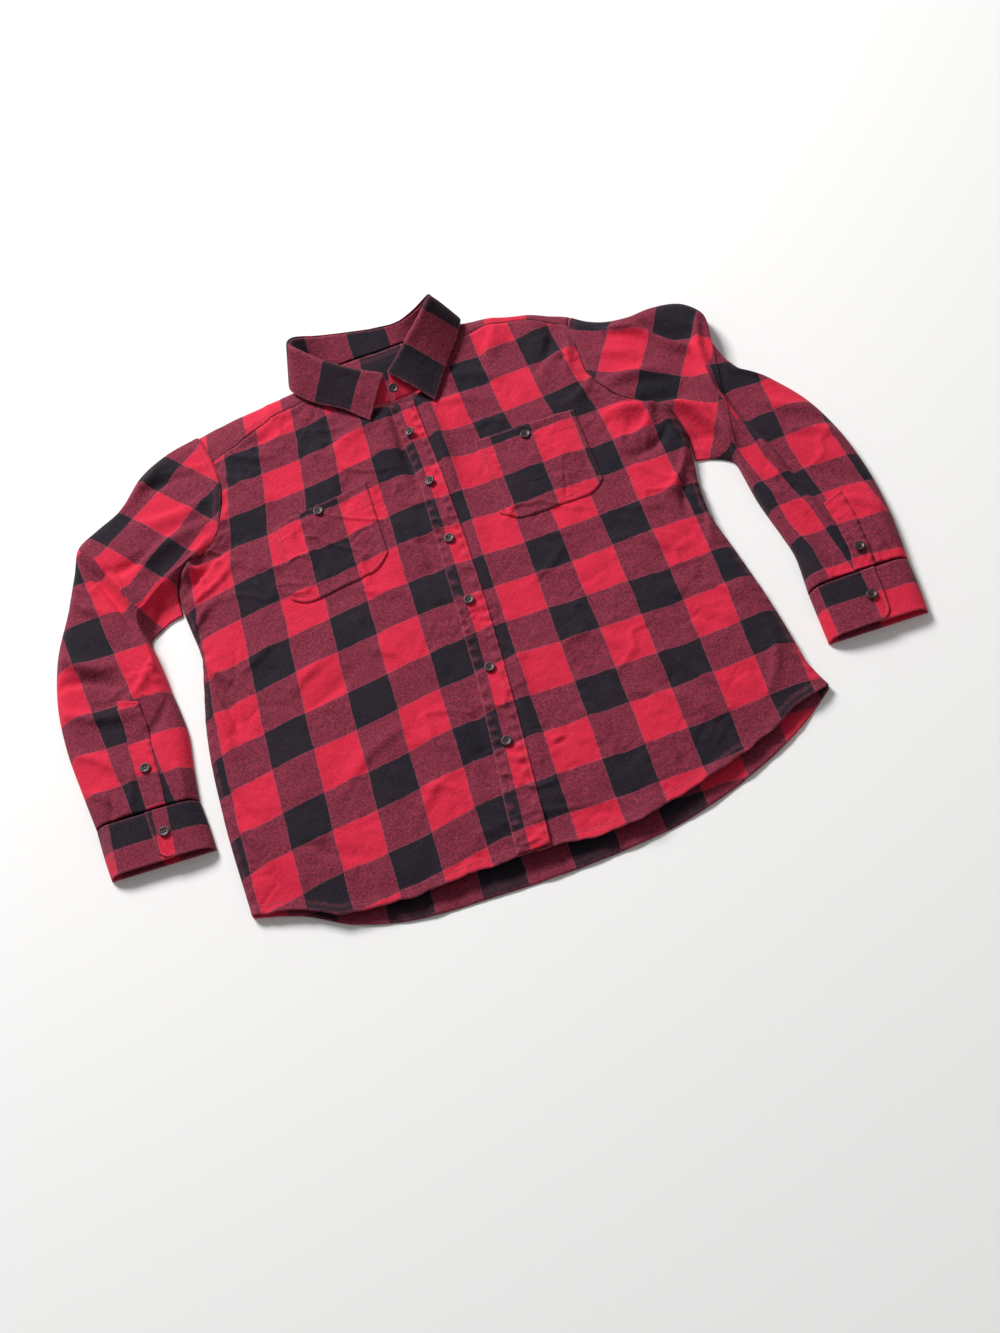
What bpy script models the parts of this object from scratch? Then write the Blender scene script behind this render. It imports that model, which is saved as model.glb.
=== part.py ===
"""Flannel shirt laid flat, buttoned: +Z up, metres, underside of the back on z = 0.

The hem points to -Y and the collar to +Y. Right and left are the wearer's, so the right side lies at -X.
Every table is in millimetres, measured on the laid shirt, and mesh_piece turns millimetres into metres.
"""

import bpy
import numpy as np

MM = 0.001

# Thicknesses and clear gaps, millimetres
CLOTH = 1.2  # one layer of brushed twill with its nap
DOUBLED = 1.8  # collar, cuffs and bands: two layers and their interlining
SEAM = 0.4  # clear gap between neighbouring pieces
REST = CLOTH + SEAM  # where a front's side edge lies on the back panel
LOFT = 13.0  # rise of the fronts above their side edges
SIDE_ROLL = 24.0  # radius of the soft fold along each side
SHOULDER_ROLL = 22.0  # and along the shoulders
SIDE_LAP = 1.6  # the back's side edge reaches this far past the fronts'
LEAF_LIFT = 3.6  # rise of the yoke over the collar leaf folded beneath it
LIFT_REACH = 22.0
NECK_TURN = 415.0  # the y at which the neck seam starts down the shoulder rolls
NECK_TURN_LENGTH = 30.0
ARMPIT_GAP = 1.6  # the sleeves' extra clearance at the armpits, where the fronts' walls stand upright
SLEEVE_EDGE = 2.4  # height of a sleeve's fold before it rolls up
SLEEVE_ROLL = 20.0

# Buttons, millimetres: four-hole shirt buttons, 20 ligne
BUTTON_RADIUS = 6.2
BUTTON_THICKNESS = 2.6

# Side edges from hem to armpit and past it, columns: x, y
RIGHT_SIDE = ((-306, -252), (-314, -135), (-312, -5), (-306, 38), (-300, 81), (-306, 126), (-310, 152))
LEFT_SIDE = ((355, -197), (343, -160), (338, -110), (330, -54), (320, 2), (309, 61), (312, 110), (317, 142))

# Armholes from armpit to shoulder fold, columns: x, y
RIGHT_ARMHOLE = ((-310, 152), (-308, 184), (-294, 205), (-265, 221), (-244, 249), (-237, 275), (-231, 302),
                 (-233, 350), (-246, 403))
LEFT_ARMHOLE = ((317, 142), (319, 185), (306, 219), (284, 240), (262, 259), (247, 282), (238, 302), (236, 348),
                (236, 388), (243, 407))
# Armhole rows where the back yoke seam and the front yoke seam meet it
YOKE_ROWS = {"right": (6, 7), "left": (6, 8)}

# Hems from right side to left side, columns: x, y
FRONT_HEM = ((-306, -252), (-253, -267), (-209, -285), (-151, -289), (-50, -285), (0, -282), (65, -287),
             (130, -282), (202, -258), (275, -233), (330, -205), (355, -197))
BACK_HEM = ((-308, -252), (-254, -268), (-203, -295), (-152, -309), (-51, -313), (58, -310), (152, -298),
            (239, -270), (312, -232), (357, -197))

# Front yoke seams from armhole to neck, columns: x, y
RIGHT_YOKE_SEAM = ((-233, 350), (-201, 362), (-176, 375), (-150, 387), (-118, 395), (-92, 404))
LEFT_YOKE_SEAM = ((236, 388), (206, 408), (186, 418), (151, 425), (118, 424), (84, 410))

# Shoulder folds, columns: x, y
SHOULDERS = ((-246, 404), (-209, 412), (-166, 419), (-116, 425), (-94, 428), (-60, 426), (0, 425), (60, 432),
             (84, 446), (104, 453), (151, 445), (202, 428), (243, 408))

# Neck seam from centre front round each side to centre back, columns: x, y
RIGHT_NECK = ((-3, 349), (-40, 357), (-74, 377), (-92, 404), (-94, 424), (-80, 442), (-40, 449), (0, 450))
LEFT_NECK = ((3, 349), (42, 358), (70, 379), (84, 410), (86, 430), (74, 447), (40, 452), (0, 450))
BACK_YOKE_SEAM = ((-231, 302), (0, 298), (238, 302))

# The midline of the placket, where the fronts meet beneath it, and its two edges. Columns: y, left x, right x
PLACKET = ((346, -6, 25), (300, -4, 27), (255, -1, 29), (211, 1, 31), (131, -1, 33), (40, -2, 33), (-50, -4, 31),
           (-150, -10, 26), (-222, -16, 22), (-281, -19, 19))

# The largest soft folds of the fronts, columns: x and y of each end, half-width, height
FRONT_FOLDS = (
    (262, 230, 308, 217, 13, 6),
    (300, 205, 316, 150, 9, 5),
    (-300, 196, -258, 203, 8, 5),
    (0, 372, 0, 340, 55, 3),
    (215, 300, 190, 405, 14, 4),
    (140, 425, 150, 400, 12, 4),
    (-190, 372, -130, 392, 10, 3),
)

# Sleeve sections from armhole to cuff seam, columns: outer fold x, y, inner fold x, y, height
RIGHT_SLEEVE = (
    (-246, 403, -310, 152, 16), (-285, 393, -325, 148, 17), (-326, 369, -340, 139, 18),
    (-362, 326, -352, 130, 19), (-394, 307, -354, 121, 21), (-418, 290, -352, 108, 22),
    (-430, 252, -349, 92, 21), (-445, 203, -346, 74, 20), (-466, 145, -343, 52, 19),
    (-476, 80, -338, 24, 18), (-474, 20, -334, -8, 17), (-464, -45, -336, -54, 17), (-455, -95, -337, -97, 17),
)
LEFT_SLEEVE = (
    (243, 407, 317, 142, 16), (262, 392, 331, 139, 17), (284, 382, 342, 135, 18), (308, 378, 350, 131, 20),
    (342, 380, 356, 127, 22), (377, 370, 360, 123, 25), (396, 347, 362, 116, 25), (393, 297, 363, 106, 23),
    (408, 252, 364, 92, 21), (438, 222, 365, 76, 20), (466, 180, 367, 56, 19), (486, 125, 371, 32, 18),
    (497, 60, 376, 4, 17), (499, -5, 380, -28, 17), (496, -50, 378, -58, 17), (493, -76, 376, -79, 17),
)
RIGHT_CUFF = ((-455, -98, -336, -100, 17), (-452, -130, -332, -130, 16), (-448, -160, -329, -161, 15))
LEFT_CUFF = ((493, -79, 376, -82, 17), (491, -114, 375, -114, 16), (488, -146, 374, -147, 15))
CUFF_LAP = {"right": 0.50, "left": 0.36}  # where the cuff's top end lies, as a share of its width from the outer fold

# Sleeve plackets: distance from the outer fold as shares of the width, and the sections they run between
GAUNTLETS = {"right": (0.52, 0.69, 9.0), "left": (0.36, 0.53, 12.2)}

# Pocket corners, columns: x, y for top left, top right, bottom right, bottom left as worn by the viewer
RIGHT_POCKET = ((-184, 223), (-60, 247), (-58, 122), (-182, 100))
LEFT_POCKET = ((79, 257), (205, 257), (208, 130), (80, 128))

# Collar: fold line from the right front round the back to the left front, columns: x, y, z
FOLD_LINE = ((-1, 386, 35), (-43, 409, 42), (-80, 439, 49), (-102, 467, 51), (-97, 489, 36), (-70, 497, 18),
             (-38, 495, 11), (0, 488, 9), (36, 480, 15), (61, 477, 30), (78, 474, 48), (82, 466, 60), (64, 441, 59),
             (45, 422, 53), (28, 405, 45), (5, 386, 36))
# Free edge of the collar leaf at the same places, from point to point
FREE_EDGE = ((-33, 334, 20), (-60, 361, 22), (-92, 386, 22), (-117, 420, 20), (-113, 447, 9), (-84, 452, 2.4),
             (-42, 441, 1.2), (0, 439, 1.0), (40, 441, 1.2), (78, 452, 2.4), (108, 461, 9), (112, 446, 21),
             (98, 414, 23), (82, 389, 23), (68, 364, 23), (50, 333, 22))

# Buttons, columns: name, x, y, tilt to the left about Y in degrees
FRONT_BUTTONS = (("button_front_1", 9, 297, 24), ("button_front_2", 14, 218, 22), ("button_front_3", 15, 130, 4),
                 ("button_front_4", 15, 39, 3), ("button_front_5", 14, -55, 3), ("button_front_6", 7, -150, 4))


def piecewise_curve(rows, count):
    """Points evenly spaced by length on a smooth (cubic Hermite) curve through the rows."""
    rows = np.array(rows, float)
    knots = np.concatenate([[0], np.cumsum(np.linalg.norm(np.diff(rows, axis=0), axis=1))])
    slopes = np.gradient(rows, knots, axis=0)
    dense = np.linspace(0, knots[-1], 30 * len(rows))
    k = np.clip(np.searchsorted(knots, dense, side="right") - 1, 0, len(rows) - 2)
    span = (knots[k + 1] - knots[k])[:, None]
    t = (dense - knots[k])[:, None] / span
    points = ((2 * t**3 - 3 * t**2 + 1) * rows[k] + (t**3 - 2 * t**2 + t) * span * slopes[k]
              + (3 * t**2 - 2 * t**3) * rows[k + 1] + (t**3 - t**2) * span * slopes[k + 1])
    return spaced(points, np.linspace(0, 1, count))


def spaced(points, shares):
    """The points at these shares of a polyline's length."""
    lengths = np.concatenate([[0], np.cumsum(np.linalg.norm(np.diff(points, axis=0), axis=1))])
    return np.stack([np.interp(np.asarray(shares) * lengths[-1], lengths, axis) for axis in points.T], axis=1)


def quarter_round(distance, radius):
    """0 at a fold, 1 from one radius inwards, upright where it starts."""
    share = np.clip(distance / radius, 0, 1)
    return np.sqrt(1 - (1 - share) ** 2)


def ridges(x, y, folds):
    """Summed soft ridges, each a bell across a straight line between its two ends."""
    height = np.zeros(np.broadcast(x, y).shape)
    for x0, y0, x1, y1, width, rise in folds:
        along = np.clip(((x - x0) * (x1 - x0) + (y - y0) * (y1 - y0)) / ((x1 - x0) ** 2 + (y1 - y0) ** 2), 0, 1)
        away = np.hypot(x - x0 - along * (x1 - x0), y - y0 - along * (y1 - y0))
        height = height + rise * np.exp(-((away / width) ** 2))
    return height


def armhole_line(side, rows):
    """The armhole as one line of points, with a point at each yoke seam: the pieces that meet there share it."""
    back_row, front_row = YOKE_ROWS[side]
    runs = (piecewise_curve(rows[: back_row + 1], 9), piecewise_curve(rows[back_row: front_row + 1], 3),
            piecewise_curve(rows[front_row:], 4))
    return np.concatenate([runs[0], runs[1][1:], runs[2][1:]])


def top_height(x, y):
    """Underside of the shirt's top layer: rolled down at the side and shoulder folds, flat between, with its folds."""
    right = np.array(RIGHT_SIDE + ((-315, 200), (-420, 250)))
    left = np.array(LEFT_SIDE + ((324, 190), (330, 222), (440, 270)))
    shoulders = np.array(SHOULDERS)
    from_side = np.minimum(x - np.interp(y, right[:, 1], right[:, 0]), np.interp(y, left[:, 1], left[:, 0]) - x)
    from_shoulder = np.interp(x, shoulders[:, 0], shoulders[:, 1]) - y
    rounding = quarter_round(from_side, SIDE_ROLL) * quarter_round(from_shoulder, SHOULDER_ROLL)
    return REST + (LOFT + ridges(x, y, FRONT_FOLDS)) * rounding


def coons(bottom, top, start, end):
    """Plan points of a four-sided panel, blended between its four boundary curves (a Coons patch)."""
    v = np.linspace(0, 1, len(start))[:, None, None]
    shares = np.cumsum(np.concatenate([[0], np.linalg.norm(np.diff(bottom, axis=0), axis=1)]))
    u = (shares / shares[-1])[None, :, None]
    ruled = (1 - v) * bottom[None] + v * top[None] + (1 - u) * start[:, None] + u * end[:, None]
    corners = ((1 - u) * (1 - v) * bottom[0] + u * (1 - v) * bottom[-1] + (1 - u) * v * top[0] + u * v * top[-1])
    return ruled - corners


def mesh_piece(name, grid, thickness, colour, side=1, closed=False, rough=0.95):
    """A wall from a grid of millimetre points: side +1 thickens it along its normals, -1 against them."""
    rows, columns = grid.shape[:2]
    index = np.arange(rows * columns).reshape(rows, columns)
    if closed:
        index = np.concatenate([index, index[:, :1]], axis=1)
    faces = np.stack([index[:-1, :-1], index[:-1, 1:], index[1:, 1:], index[1:, :-1]], axis=-1).reshape(-1, 4)
    mesh = bpy.data.meshes.new(name)
    mesh.from_pydata((grid.reshape(-1, 3) * MM).tolist(), [], faces.tolist())
    mesh.update()
    piece = bpy.data.objects.new(name, mesh)
    shirt.objects.link(piece)
    wall = piece.modifiers.new("wall", "SOLIDIFY")
    wall.thickness = thickness * MM
    wall.offset = side
    wall.use_even_offset = False
    mesh.materials.append(finish(name, colour, rough))
    return piece


def finish(name, colour, rough):
    material = bpy.data.materials.new(name)
    material.use_nodes = True
    shader = material.node_tree.nodes["Principled BSDF"]
    shader.inputs["Base Color"].default_value = (*colour, 1)
    shader.inputs["Roughness"].default_value = rough
    shader.inputs["Metallic"].default_value = 0.0
    return material


def with_height(plan, height):
    return np.concatenate([plan, np.broadcast_to(height, plan.shape[:2])[..., None]], axis=-1)


for old in list(bpy.data.objects):
    bpy.data.objects.remove(old, do_unlink=True)
shirt = bpy.data.collections.new("flannel_shirt")
bpy.context.scene.collection.children.link(shirt)

FLANNEL = (0.21, 0.023, 0.045)
FLANNEL_DARK = (0.12, 0.02, 0.032)
HORN = (0.045, 0.035, 0.035)

RIGHT_HOLE = armhole_line("right", RIGHT_ARMHOLE)
LEFT_HOLE = armhole_line("left", LEFT_ARMHOLE)
TO_BACK_SEAM, TO_FRONT_SEAM = 9, 11  # points of an armhole line up to each yoke seam

# ---- Fronts: each a panel from its side seam to the midline beneath the placket ----
ACROSS = 1 - np.cos(np.linspace(0, np.pi / 2, 10))  # closer together at the side fold


def midline(x_shift):
    rows = np.array(PLACKET, float)[::-1]
    middle = np.stack([(rows[:, 1] + rows[:, 2]) / 2 + x_shift, rows[:, 0]], axis=1)
    return middle


def front(side_rows, hole, yoke_seam, neck, hem_rows, x_shift):
    """A front panel's plan points: hem, side and armhole, yoke seam and neck, and the midline."""
    edge = np.concatenate([piecewise_curve(side_rows, 11), hole[1:TO_FRONT_SEAM]])
    centre = midline(x_shift)
    neck_part = np.array(neck[:4], float)[::-1]
    neck_part[-1] = (centre[-1][0], 347)
    across_top = np.concatenate([piecewise_curve(yoke_seam, 30)[:-1], piecewise_curve(neck_part, 30)])
    hem = np.array(hem_rows, float)
    middle_hem = np.array([[centre[0][0], np.interp(centre[0][0], hem[:, 0], hem[:, 1])]])
    keep = hem[hem[:, 0] < centre[0][0] - 20] if x_shift < 0 else hem[hem[:, 0] > centre[0][0] + 20][::-1]
    bottom = spaced(piecewise_curve(np.concatenate([keep, middle_hem]), 60), ACROSS)
    centre = np.concatenate([middle_hem, centre[1:]])
    # The midline is spaced as the side edge is by height, so that rows stay nearly level
    level = (edge[:, 1] - edge[0, 1]) / (edge[-1, 1] - edge[0, 1])
    return coons(bottom, spaced(across_top, ACROSS), edge, spaced(centre, np.maximum.accumulate(level)))


right_front = front(RIGHT_SIDE, RIGHT_HOLE, RIGHT_YOKE_SEAM, RIGHT_NECK, FRONT_HEM, -0.5)
left_front = front(LEFT_SIDE, LEFT_HOLE, LEFT_YOKE_SEAM, LEFT_NECK, FRONT_HEM, 0.5)
mesh_piece("front_right", with_height(right_front, top_height(right_front[..., 0], right_front[..., 1])),
           CLOTH, FLANNEL)
mesh_piece("front_left", with_height(left_front, top_height(left_front[..., 0], left_front[..., 1])),
           CLOTH, FLANNEL, side=-1)

# ---- Back: one flat panel on z = 0, from the hem to the back yoke seam ----
lap = SIDE_LAP * np.clip(np.linspace(5, 0, 11), 0, 1)[:, None] * (1, 0)
right_edge = piecewise_curve(RIGHT_SIDE, 11) - lap
left_edge = piecewise_curve(LEFT_SIDE, 11) + lap
edges = [np.concatenate([edge, hole[1:TO_BACK_SEAM]])
         for edge, hole in ((right_edge, RIGHT_HOLE), (left_edge, LEFT_HOLE))]
hem = piecewise_curve(BACK_HEM, 13)
hem[0], hem[-1] = edges[0][0], edges[1][0]
yoke_join = piecewise_curve(BACK_YOKE_SEAM, 13) - (0, SEAM)
yoke_join[0], yoke_join[-1] = edges[0][-1], edges[1][-1]
back = coons(hem, yoke_join, *edges)
mesh_piece("back", with_height(back, 0.0), CLOTH, FLANNEL)

# ---- Yoke: one piece, over both shoulders and flat across the back of the neck ----


def leaf_lift(x, y):
    """Rise of the yoke's lower layer where the collar leaf is folded beneath it."""
    neck = np.concatenate([piecewise_curve(RIGHT_NECK[3:], 40), piecewise_curve(LEFT_NECK[3:], 40)])
    away = np.hypot(x[..., None] - neck[:, 0], y[..., None] - neck[:, 1]).min(axis=-1)
    share = np.clip(1 - (away - LIFT_REACH) / (1.5 * LIFT_REACH), 0, 1)
    return LEAF_LIFT * share * share * (3 - 2 * share)


def behind(plan):
    """0 on the fronts and 1 behind the shoulder folds, for points of the neck seam."""
    share = np.clip((plan[:, 1] - NECK_TURN) / NECK_TURN_LENGTH, 0, 1)
    return share * share * (3 - 2 * share)


def neck_line(rows, count):
    """The neck seam in space: on the fronts, down the shoulder rolls, then on the yoke's lower layer."""
    plan = piecewise_curve(rows, count)
    on_fronts = top_height(plan[:, 0], plan[:, 1] - 10) + CLOTH
    height = on_fronts + (LEAF_LIFT - on_fronts) * behind(plan)
    return np.concatenate([plan, height[:, None]], axis=1)


def between_armholes(share, y):
    """x at a height y, where share 0 is the right armhole and 1 the left."""
    right, left = RIGHT_HOLE[TO_BACK_SEAM - 1:], LEFT_HOLE[TO_BACK_SEAM - 1:]
    right_x = np.interp(y, right[:, 1], right[:, 0])
    return right_x + share * (np.interp(y, left[:, 1], left[:, 0]) - right_x)


def share_between(x, y):
    return (x - between_armholes(0, y)) / (between_armholes(1, y) - between_armholes(0, y))


def yoke_section(start, end):
    """One section: from the seam, rolled over the shoulder fold, and beneath to the back yoke seam."""
    from_share, to_share = share_between(*start[:2]), share_between(*end)
    fold_y = np.interp(between_armholes(from_share, 400), *np.array(SHOULDERS).T)
    fold_y = max(fold_y, start[1])
    upper_y = start[1] + (fold_y - start[1]) * np.sin(np.linspace(0, np.pi / 2, 20))
    upper_x = between_armholes(from_share, upper_y)
    lower_y = np.linspace(fold_y, end[1], 40)
    lower_share = from_share + (to_share - from_share) * np.linspace(0, 1, 40)
    lower_x = between_armholes(lower_share, lower_y)
    lower = np.stack([lower_x, lower_y, leaf_lift(lower_x, lower_y)], axis=1)
    upper_z = lower[0, 2] + (start[2] - lower[0, 2]) * np.cos(np.linspace(0, np.pi / 2, 20)) ** 0.8
    upper = np.stack([upper_x, upper_y, upper_z], axis=1)
    return spaced(np.concatenate([upper, lower]), np.linspace(0, 1, 12))


def seam_line_on_top(rows, count):
    plan = piecewise_curve(rows, count) + (0, 3 * SEAM)
    return np.concatenate([plan, top_height(plan[:, 0], plan[:, 1])[:, None] + CLOTH], axis=1)


front_edge = np.concatenate([
    seam_line_on_top(RIGHT_YOKE_SEAM, 6), neck_line(RIGHT_NECK[3:], 8)[1:],
    neck_line(LEFT_NECK[3:], 8)[::-1][1:-1], seam_line_on_top(LEFT_YOKE_SEAM, 6)[::-1]])
back_edge = piecewise_curve(BACK_YOKE_SEAM, len(front_edge))
sections = [yoke_section(start, end) for start, end in zip(front_edge, back_edge)]
mesh_piece("yoke", np.array(sections), CLOTH, FLANNEL_DARK)


# ---- Sleeves: flattened tubes of sections from the armhole to the cuff seam ----
def sleeve_top(row, shares, edge=SLEEVE_EDGE):
    """Points across a section's top layer, rolled down at both folds. Shares run from outer to inner fold."""
    outer, inner, height = np.array(row[:2]), np.array(row[2:4]), row[4]
    width = np.linalg.norm(inner - outer)
    shares = np.asarray(shares, float)
    plan = outer + shares[:, None] * (inner - outer)
    rounding = quarter_round(shares * width, SLEEVE_ROLL) * quarter_round((1 - shares) * width, SLEEVE_ROLL)
    return np.concatenate([plan, (edge + (height - edge) * rounding)[:, None]], axis=1)


def section_ring(top):
    """Closes a section: its top points, then the same points back on z = 0."""
    bottom = top[::-1].copy()
    bottom[:, 2] = 0
    return np.concatenate([top, bottom])


def sleeve(name, rows, hole, outward):
    """A sleeve's rings. The first follows the armhole, and that shape fades out over the next four."""
    hole = hole[::-1]
    lengths = np.concatenate([[0], np.cumsum(np.linalg.norm(np.diff(hole, axis=0), axis=1))])
    shares = lengths / lengths[-1]
    tangent = np.gradient(hole, axis=0)
    tangent /= np.linalg.norm(tangent, axis=1, keepdims=True)
    away = np.stack([tangent[:, 1], -tangent[:, 0]], axis=1) * -outward
    to_armpit = lengths[-1] - lengths
    hole = hole + (2 * SEAM + ARMPIT_GAP * np.clip(1 - to_armpit / 90, 0, 1)[:, None]) * away
    hole = np.concatenate([hole, (top_height(hole[:, 0], hole[:, 1]) + CLOTH)[:, None]], axis=1)
    hole[[0, -1], 2] = SLEEVE_EDGE
    first = sleeve_top(rows[0], shares)
    rings = []
    for number, row in enumerate(rows):
        fade = max(0.0, 1 - (number / 5) ** 2)
        rings.append(section_ring(sleeve_top(row, shares) + fade * (hole - first)))
    rings = np.array(rings)
    mesh_piece(name, rings, CLOTH, FLANNEL, side=-outward, closed=True)
    return rings[:, : len(shares)]


right_sleeve = sleeve("sleeve_right", RIGHT_SLEEVE, RIGHT_HOLE, -1)
left_sleeve = sleeve("sleeve_left", LEFT_SLEEVE, LEFT_HOLE, 1)


# ---- Cuffs: doubled bands, lapped and buttoned on the top side ----
def cuff(name, rows, lap, outward):
    """An open band: from its lapped end round the inner fold, beneath, and back under the lap from the outer fold."""
    under = np.linspace(0.0, lap + 0.13, 8)
    over = lap + (1 - lap) * np.sin(np.linspace(0, np.pi / 2, 9))
    grid = []
    for row in rows:
        raised = sleeve_top(row, over)
        raised[:, 2] += (DOUBLED + SEAM) * np.clip(1.15 - (over - lap) / (1 - lap), 0, 1)
        beneath = sleeve_top(row, under)
        flat = section_ring(sleeve_top(row, np.linspace(0, 1, 7)))[7:]
        grid.append(np.concatenate([raised, flat, beneath]))
    mesh_piece(name, np.array(grid), DOUBLED, FLANNEL_DARK, side=-outward)


cuff("cuff_right", RIGHT_CUFF, CUFF_LAP["right"], -1)
cuff("cuff_left", LEFT_CUFF, CUFF_LAP["left"], 1)


# ---- Sleeve plackets: narrow doubled strips on the sleeves' tops, ending at the cuff seams ----
def gauntlet(name, surface, side, outward):
    start, end, first = GAUNTLETS[side]
    rows = np.linspace(first, len(surface) - 1, 9)
    low = np.floor(rows).astype(int).clip(0, len(surface) - 2)
    part = (rows - low)[:, None, None]
    lines = surface[low] * (1 - part) + surface[low + 1] * part
    strip = np.array([spaced(line, np.linspace(start, end, 4)) for line in lines])
    strip[..., 2] = strip[..., 2].max(axis=1, keepdims=True) + SEAM
    mesh_piece(name, strip, DOUBLED, FLANNEL_DARK, side=outward)
    return strip


right_gauntlet = gauntlet("sleeve_placket_right", right_sleeve, "right", -1)
left_gauntlet = gauntlet("sleeve_placket_left", left_sleeve, "left", 1)

# ---- Placket: the buttonhole band over the midline ----
band_rows = np.array(PLACKET, float)
band_y = np.linspace(band_rows[0, 0], band_rows[-1, 0] - 1, 17)
band_left = np.interp(band_y, band_rows[::-1, 0], band_rows[::-1, 1])
band_right = np.interp(band_y, band_rows[::-1, 0], band_rows[::-1, 2])
share = np.linspace(0, 1, 4)[None, :]
band_x = band_left[:, None] * (1 - share) + band_right[:, None] * share
band_plan = np.stack([band_x, np.broadcast_to(band_y[:, None], band_x.shape)], axis=-1)
band_top = top_height(band_plan[..., 0], band_plan[..., 1]) + CLOTH + SEAM
mesh_piece("placket", with_height(band_plan, band_top), DOUBLED, FLANNEL, side=-1)


# ---- Patch pockets: their own points on the fronts, moved out ----
def pocket(name, corners):
    top_left, top_right, bottom_right, bottom_left = np.array(corners, float)
    u = np.linspace(0, 1, 8)[None, :, None]
    v = np.linspace(0, 1, 6)[:, None, None]
    plan = (1 - v) * ((1 - u) * bottom_left + u * bottom_right) + v * ((1 - u) * top_left + u * top_right)
    # The two lower corners are cut round: the bottom edge rises towards both sides
    cut = 16 * np.clip(np.abs(u[..., 0] * 2 - 1) - 0.55, 0, 1) ** 2 / 0.2
    plan[..., 1] += cut * (1 - v[..., 0]) ** 2
    height = top_height(plan[..., 0], plan[..., 1]) + CLOTH + SEAM
    mesh_piece(name, with_height(plan, height), CLOTH, FLANNEL_DARK)


pocket("pocket_right", RIGHT_POCKET)
pocket("pocket_left", LEFT_POCKET)

# ---- Collar stand: a band round the neck from the neck seam to the fold line, lapped at centre front ----
STAND_COLUMNS = 35
STAND_SET_IN = 4.4  # the band stands this far inside the neck seam


half = STAND_COLUMNS // 2 + 1
seam_line = np.concatenate([neck_line(RIGHT_NECK, half), neck_line(LEFT_NECK, half)[::-1][1:]])
fold_back = 7  # the row of FOLD_LINE at centre back
fold_line = np.concatenate([piecewise_curve(FOLD_LINE[: fold_back + 1], half),
                            piecewise_curve(FOLD_LINE[fold_back:], half)[1:]])
stand_top = fold_line - (0, 0, 2.4)
inward = np.array([-4, 405]) - seam_line[:, :2]
inward /= np.linalg.norm(inward, axis=1, keepdims=True)
back_part = behind(seam_line)[:, None]
inward = inward * (1 - back_part) + np.array([0, 1.0]) * back_part
inward /= np.linalg.norm(inward, axis=1, keepdims=True)
stand_low = seam_line + (0, 0, 0.6)
stand_low[:, 2:] += CLOTH * back_part
stand_low[:, :2] += STAND_SET_IN * inward
levels = np.linspace(0, 1, 4)[:, None, None]
stand = stand_low[None] * (1 - levels) + stand_top[None] * levels
mesh_piece("collar_stand", stand, DOUBLED, FLANNEL_DARK, side=0)

# ---- Collar leaf: from the fold line down to its free edge, with a point at each front ----
free_edge = np.concatenate([piecewise_curve(FREE_EDGE[: fold_back + 1], half),
                            piecewise_curve(FREE_EDGE[fold_back:], half)[1:]])
rise = stand_top - stand_low
rise /= np.linalg.norm(rise, axis=1, keepdims=True)
round_neck = np.gradient(stand_top, axis=0)
out = np.cross(rise, round_neck)
out /= np.linalg.norm(out, axis=1, keepdims=True)
LEAF_GAP = 2.8  # between the middles of the stand and the leaf
turn = [stand_top + 1.9 * rise, stand_top + 1.8 * rise + 1.7 * out, stand_top + LEAF_GAP * out]
# At the back the leaf drops steeply and then runs flat beneath the yoke. At the front it stands off a little
drop = 1 + 1.6 * np.clip((14 - free_edge[:, 2]) / 8, 0, 1)
belly = 2.5 * np.clip((free_edge[:, 2] - 8) / 8, 0, 1)
hang = []
for share in (0.33, 0.66, 1.0):
    line = turn[-1] + (free_edge - turn[-1]) * share
    line[:, 2] = free_edge[:, 2] + (turn[-1][:, 2] - free_edge[:, 2]) * (1 - share) ** drop + belly * (share < 1)
    hang.append(line)
mesh_piece("collar_leaf", np.array(turn + hang), DOUBLED, FLANNEL_DARK, side=0)


# ---- Buttons: dished four-hole horn-look discs, sewn through a shank of thread ----
def button_mesh():
    """A turned disc: flat back, rounded rim and dished middle, as a profile spun about Z."""
    profile = ((0, 0), (0.72, 0), (0.95, 0.22), (1.0, 0.55), (0.9, 0.95), (0.74, 1.0), (0.6, 0.8), (0, 0.74))
    mesh = bpy.data.meshes.new("button")
    points = [(r * BUTTON_RADIUS * MM, 0, h * BUTTON_THICKNESS * MM) for r, h in profile]
    mesh.from_pydata(points[::-1], [(i, i + 1) for i in range(len(points) - 1)], [])
    mesh.materials.append(finish("button_horn", HORN, 0.35))
    return mesh


BUTTON = button_mesh()


def sew_button(name, x, y, z, tilt=0.0, pitch=0.0):
    piece = bpy.data.objects.new(name, BUTTON)
    piece.location = (x * MM, y * MM, z * MM)
    piece.rotation_euler = (np.radians(pitch), np.radians(-tilt), 0)
    spin = piece.modifiers.new("turned", "SCREW")
    spin.steps = spin.render_steps = 12
    spin.use_merge_vertices = True
    spin.merge_threshold = 0.00001
    shirt.objects.link(piece)


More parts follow.
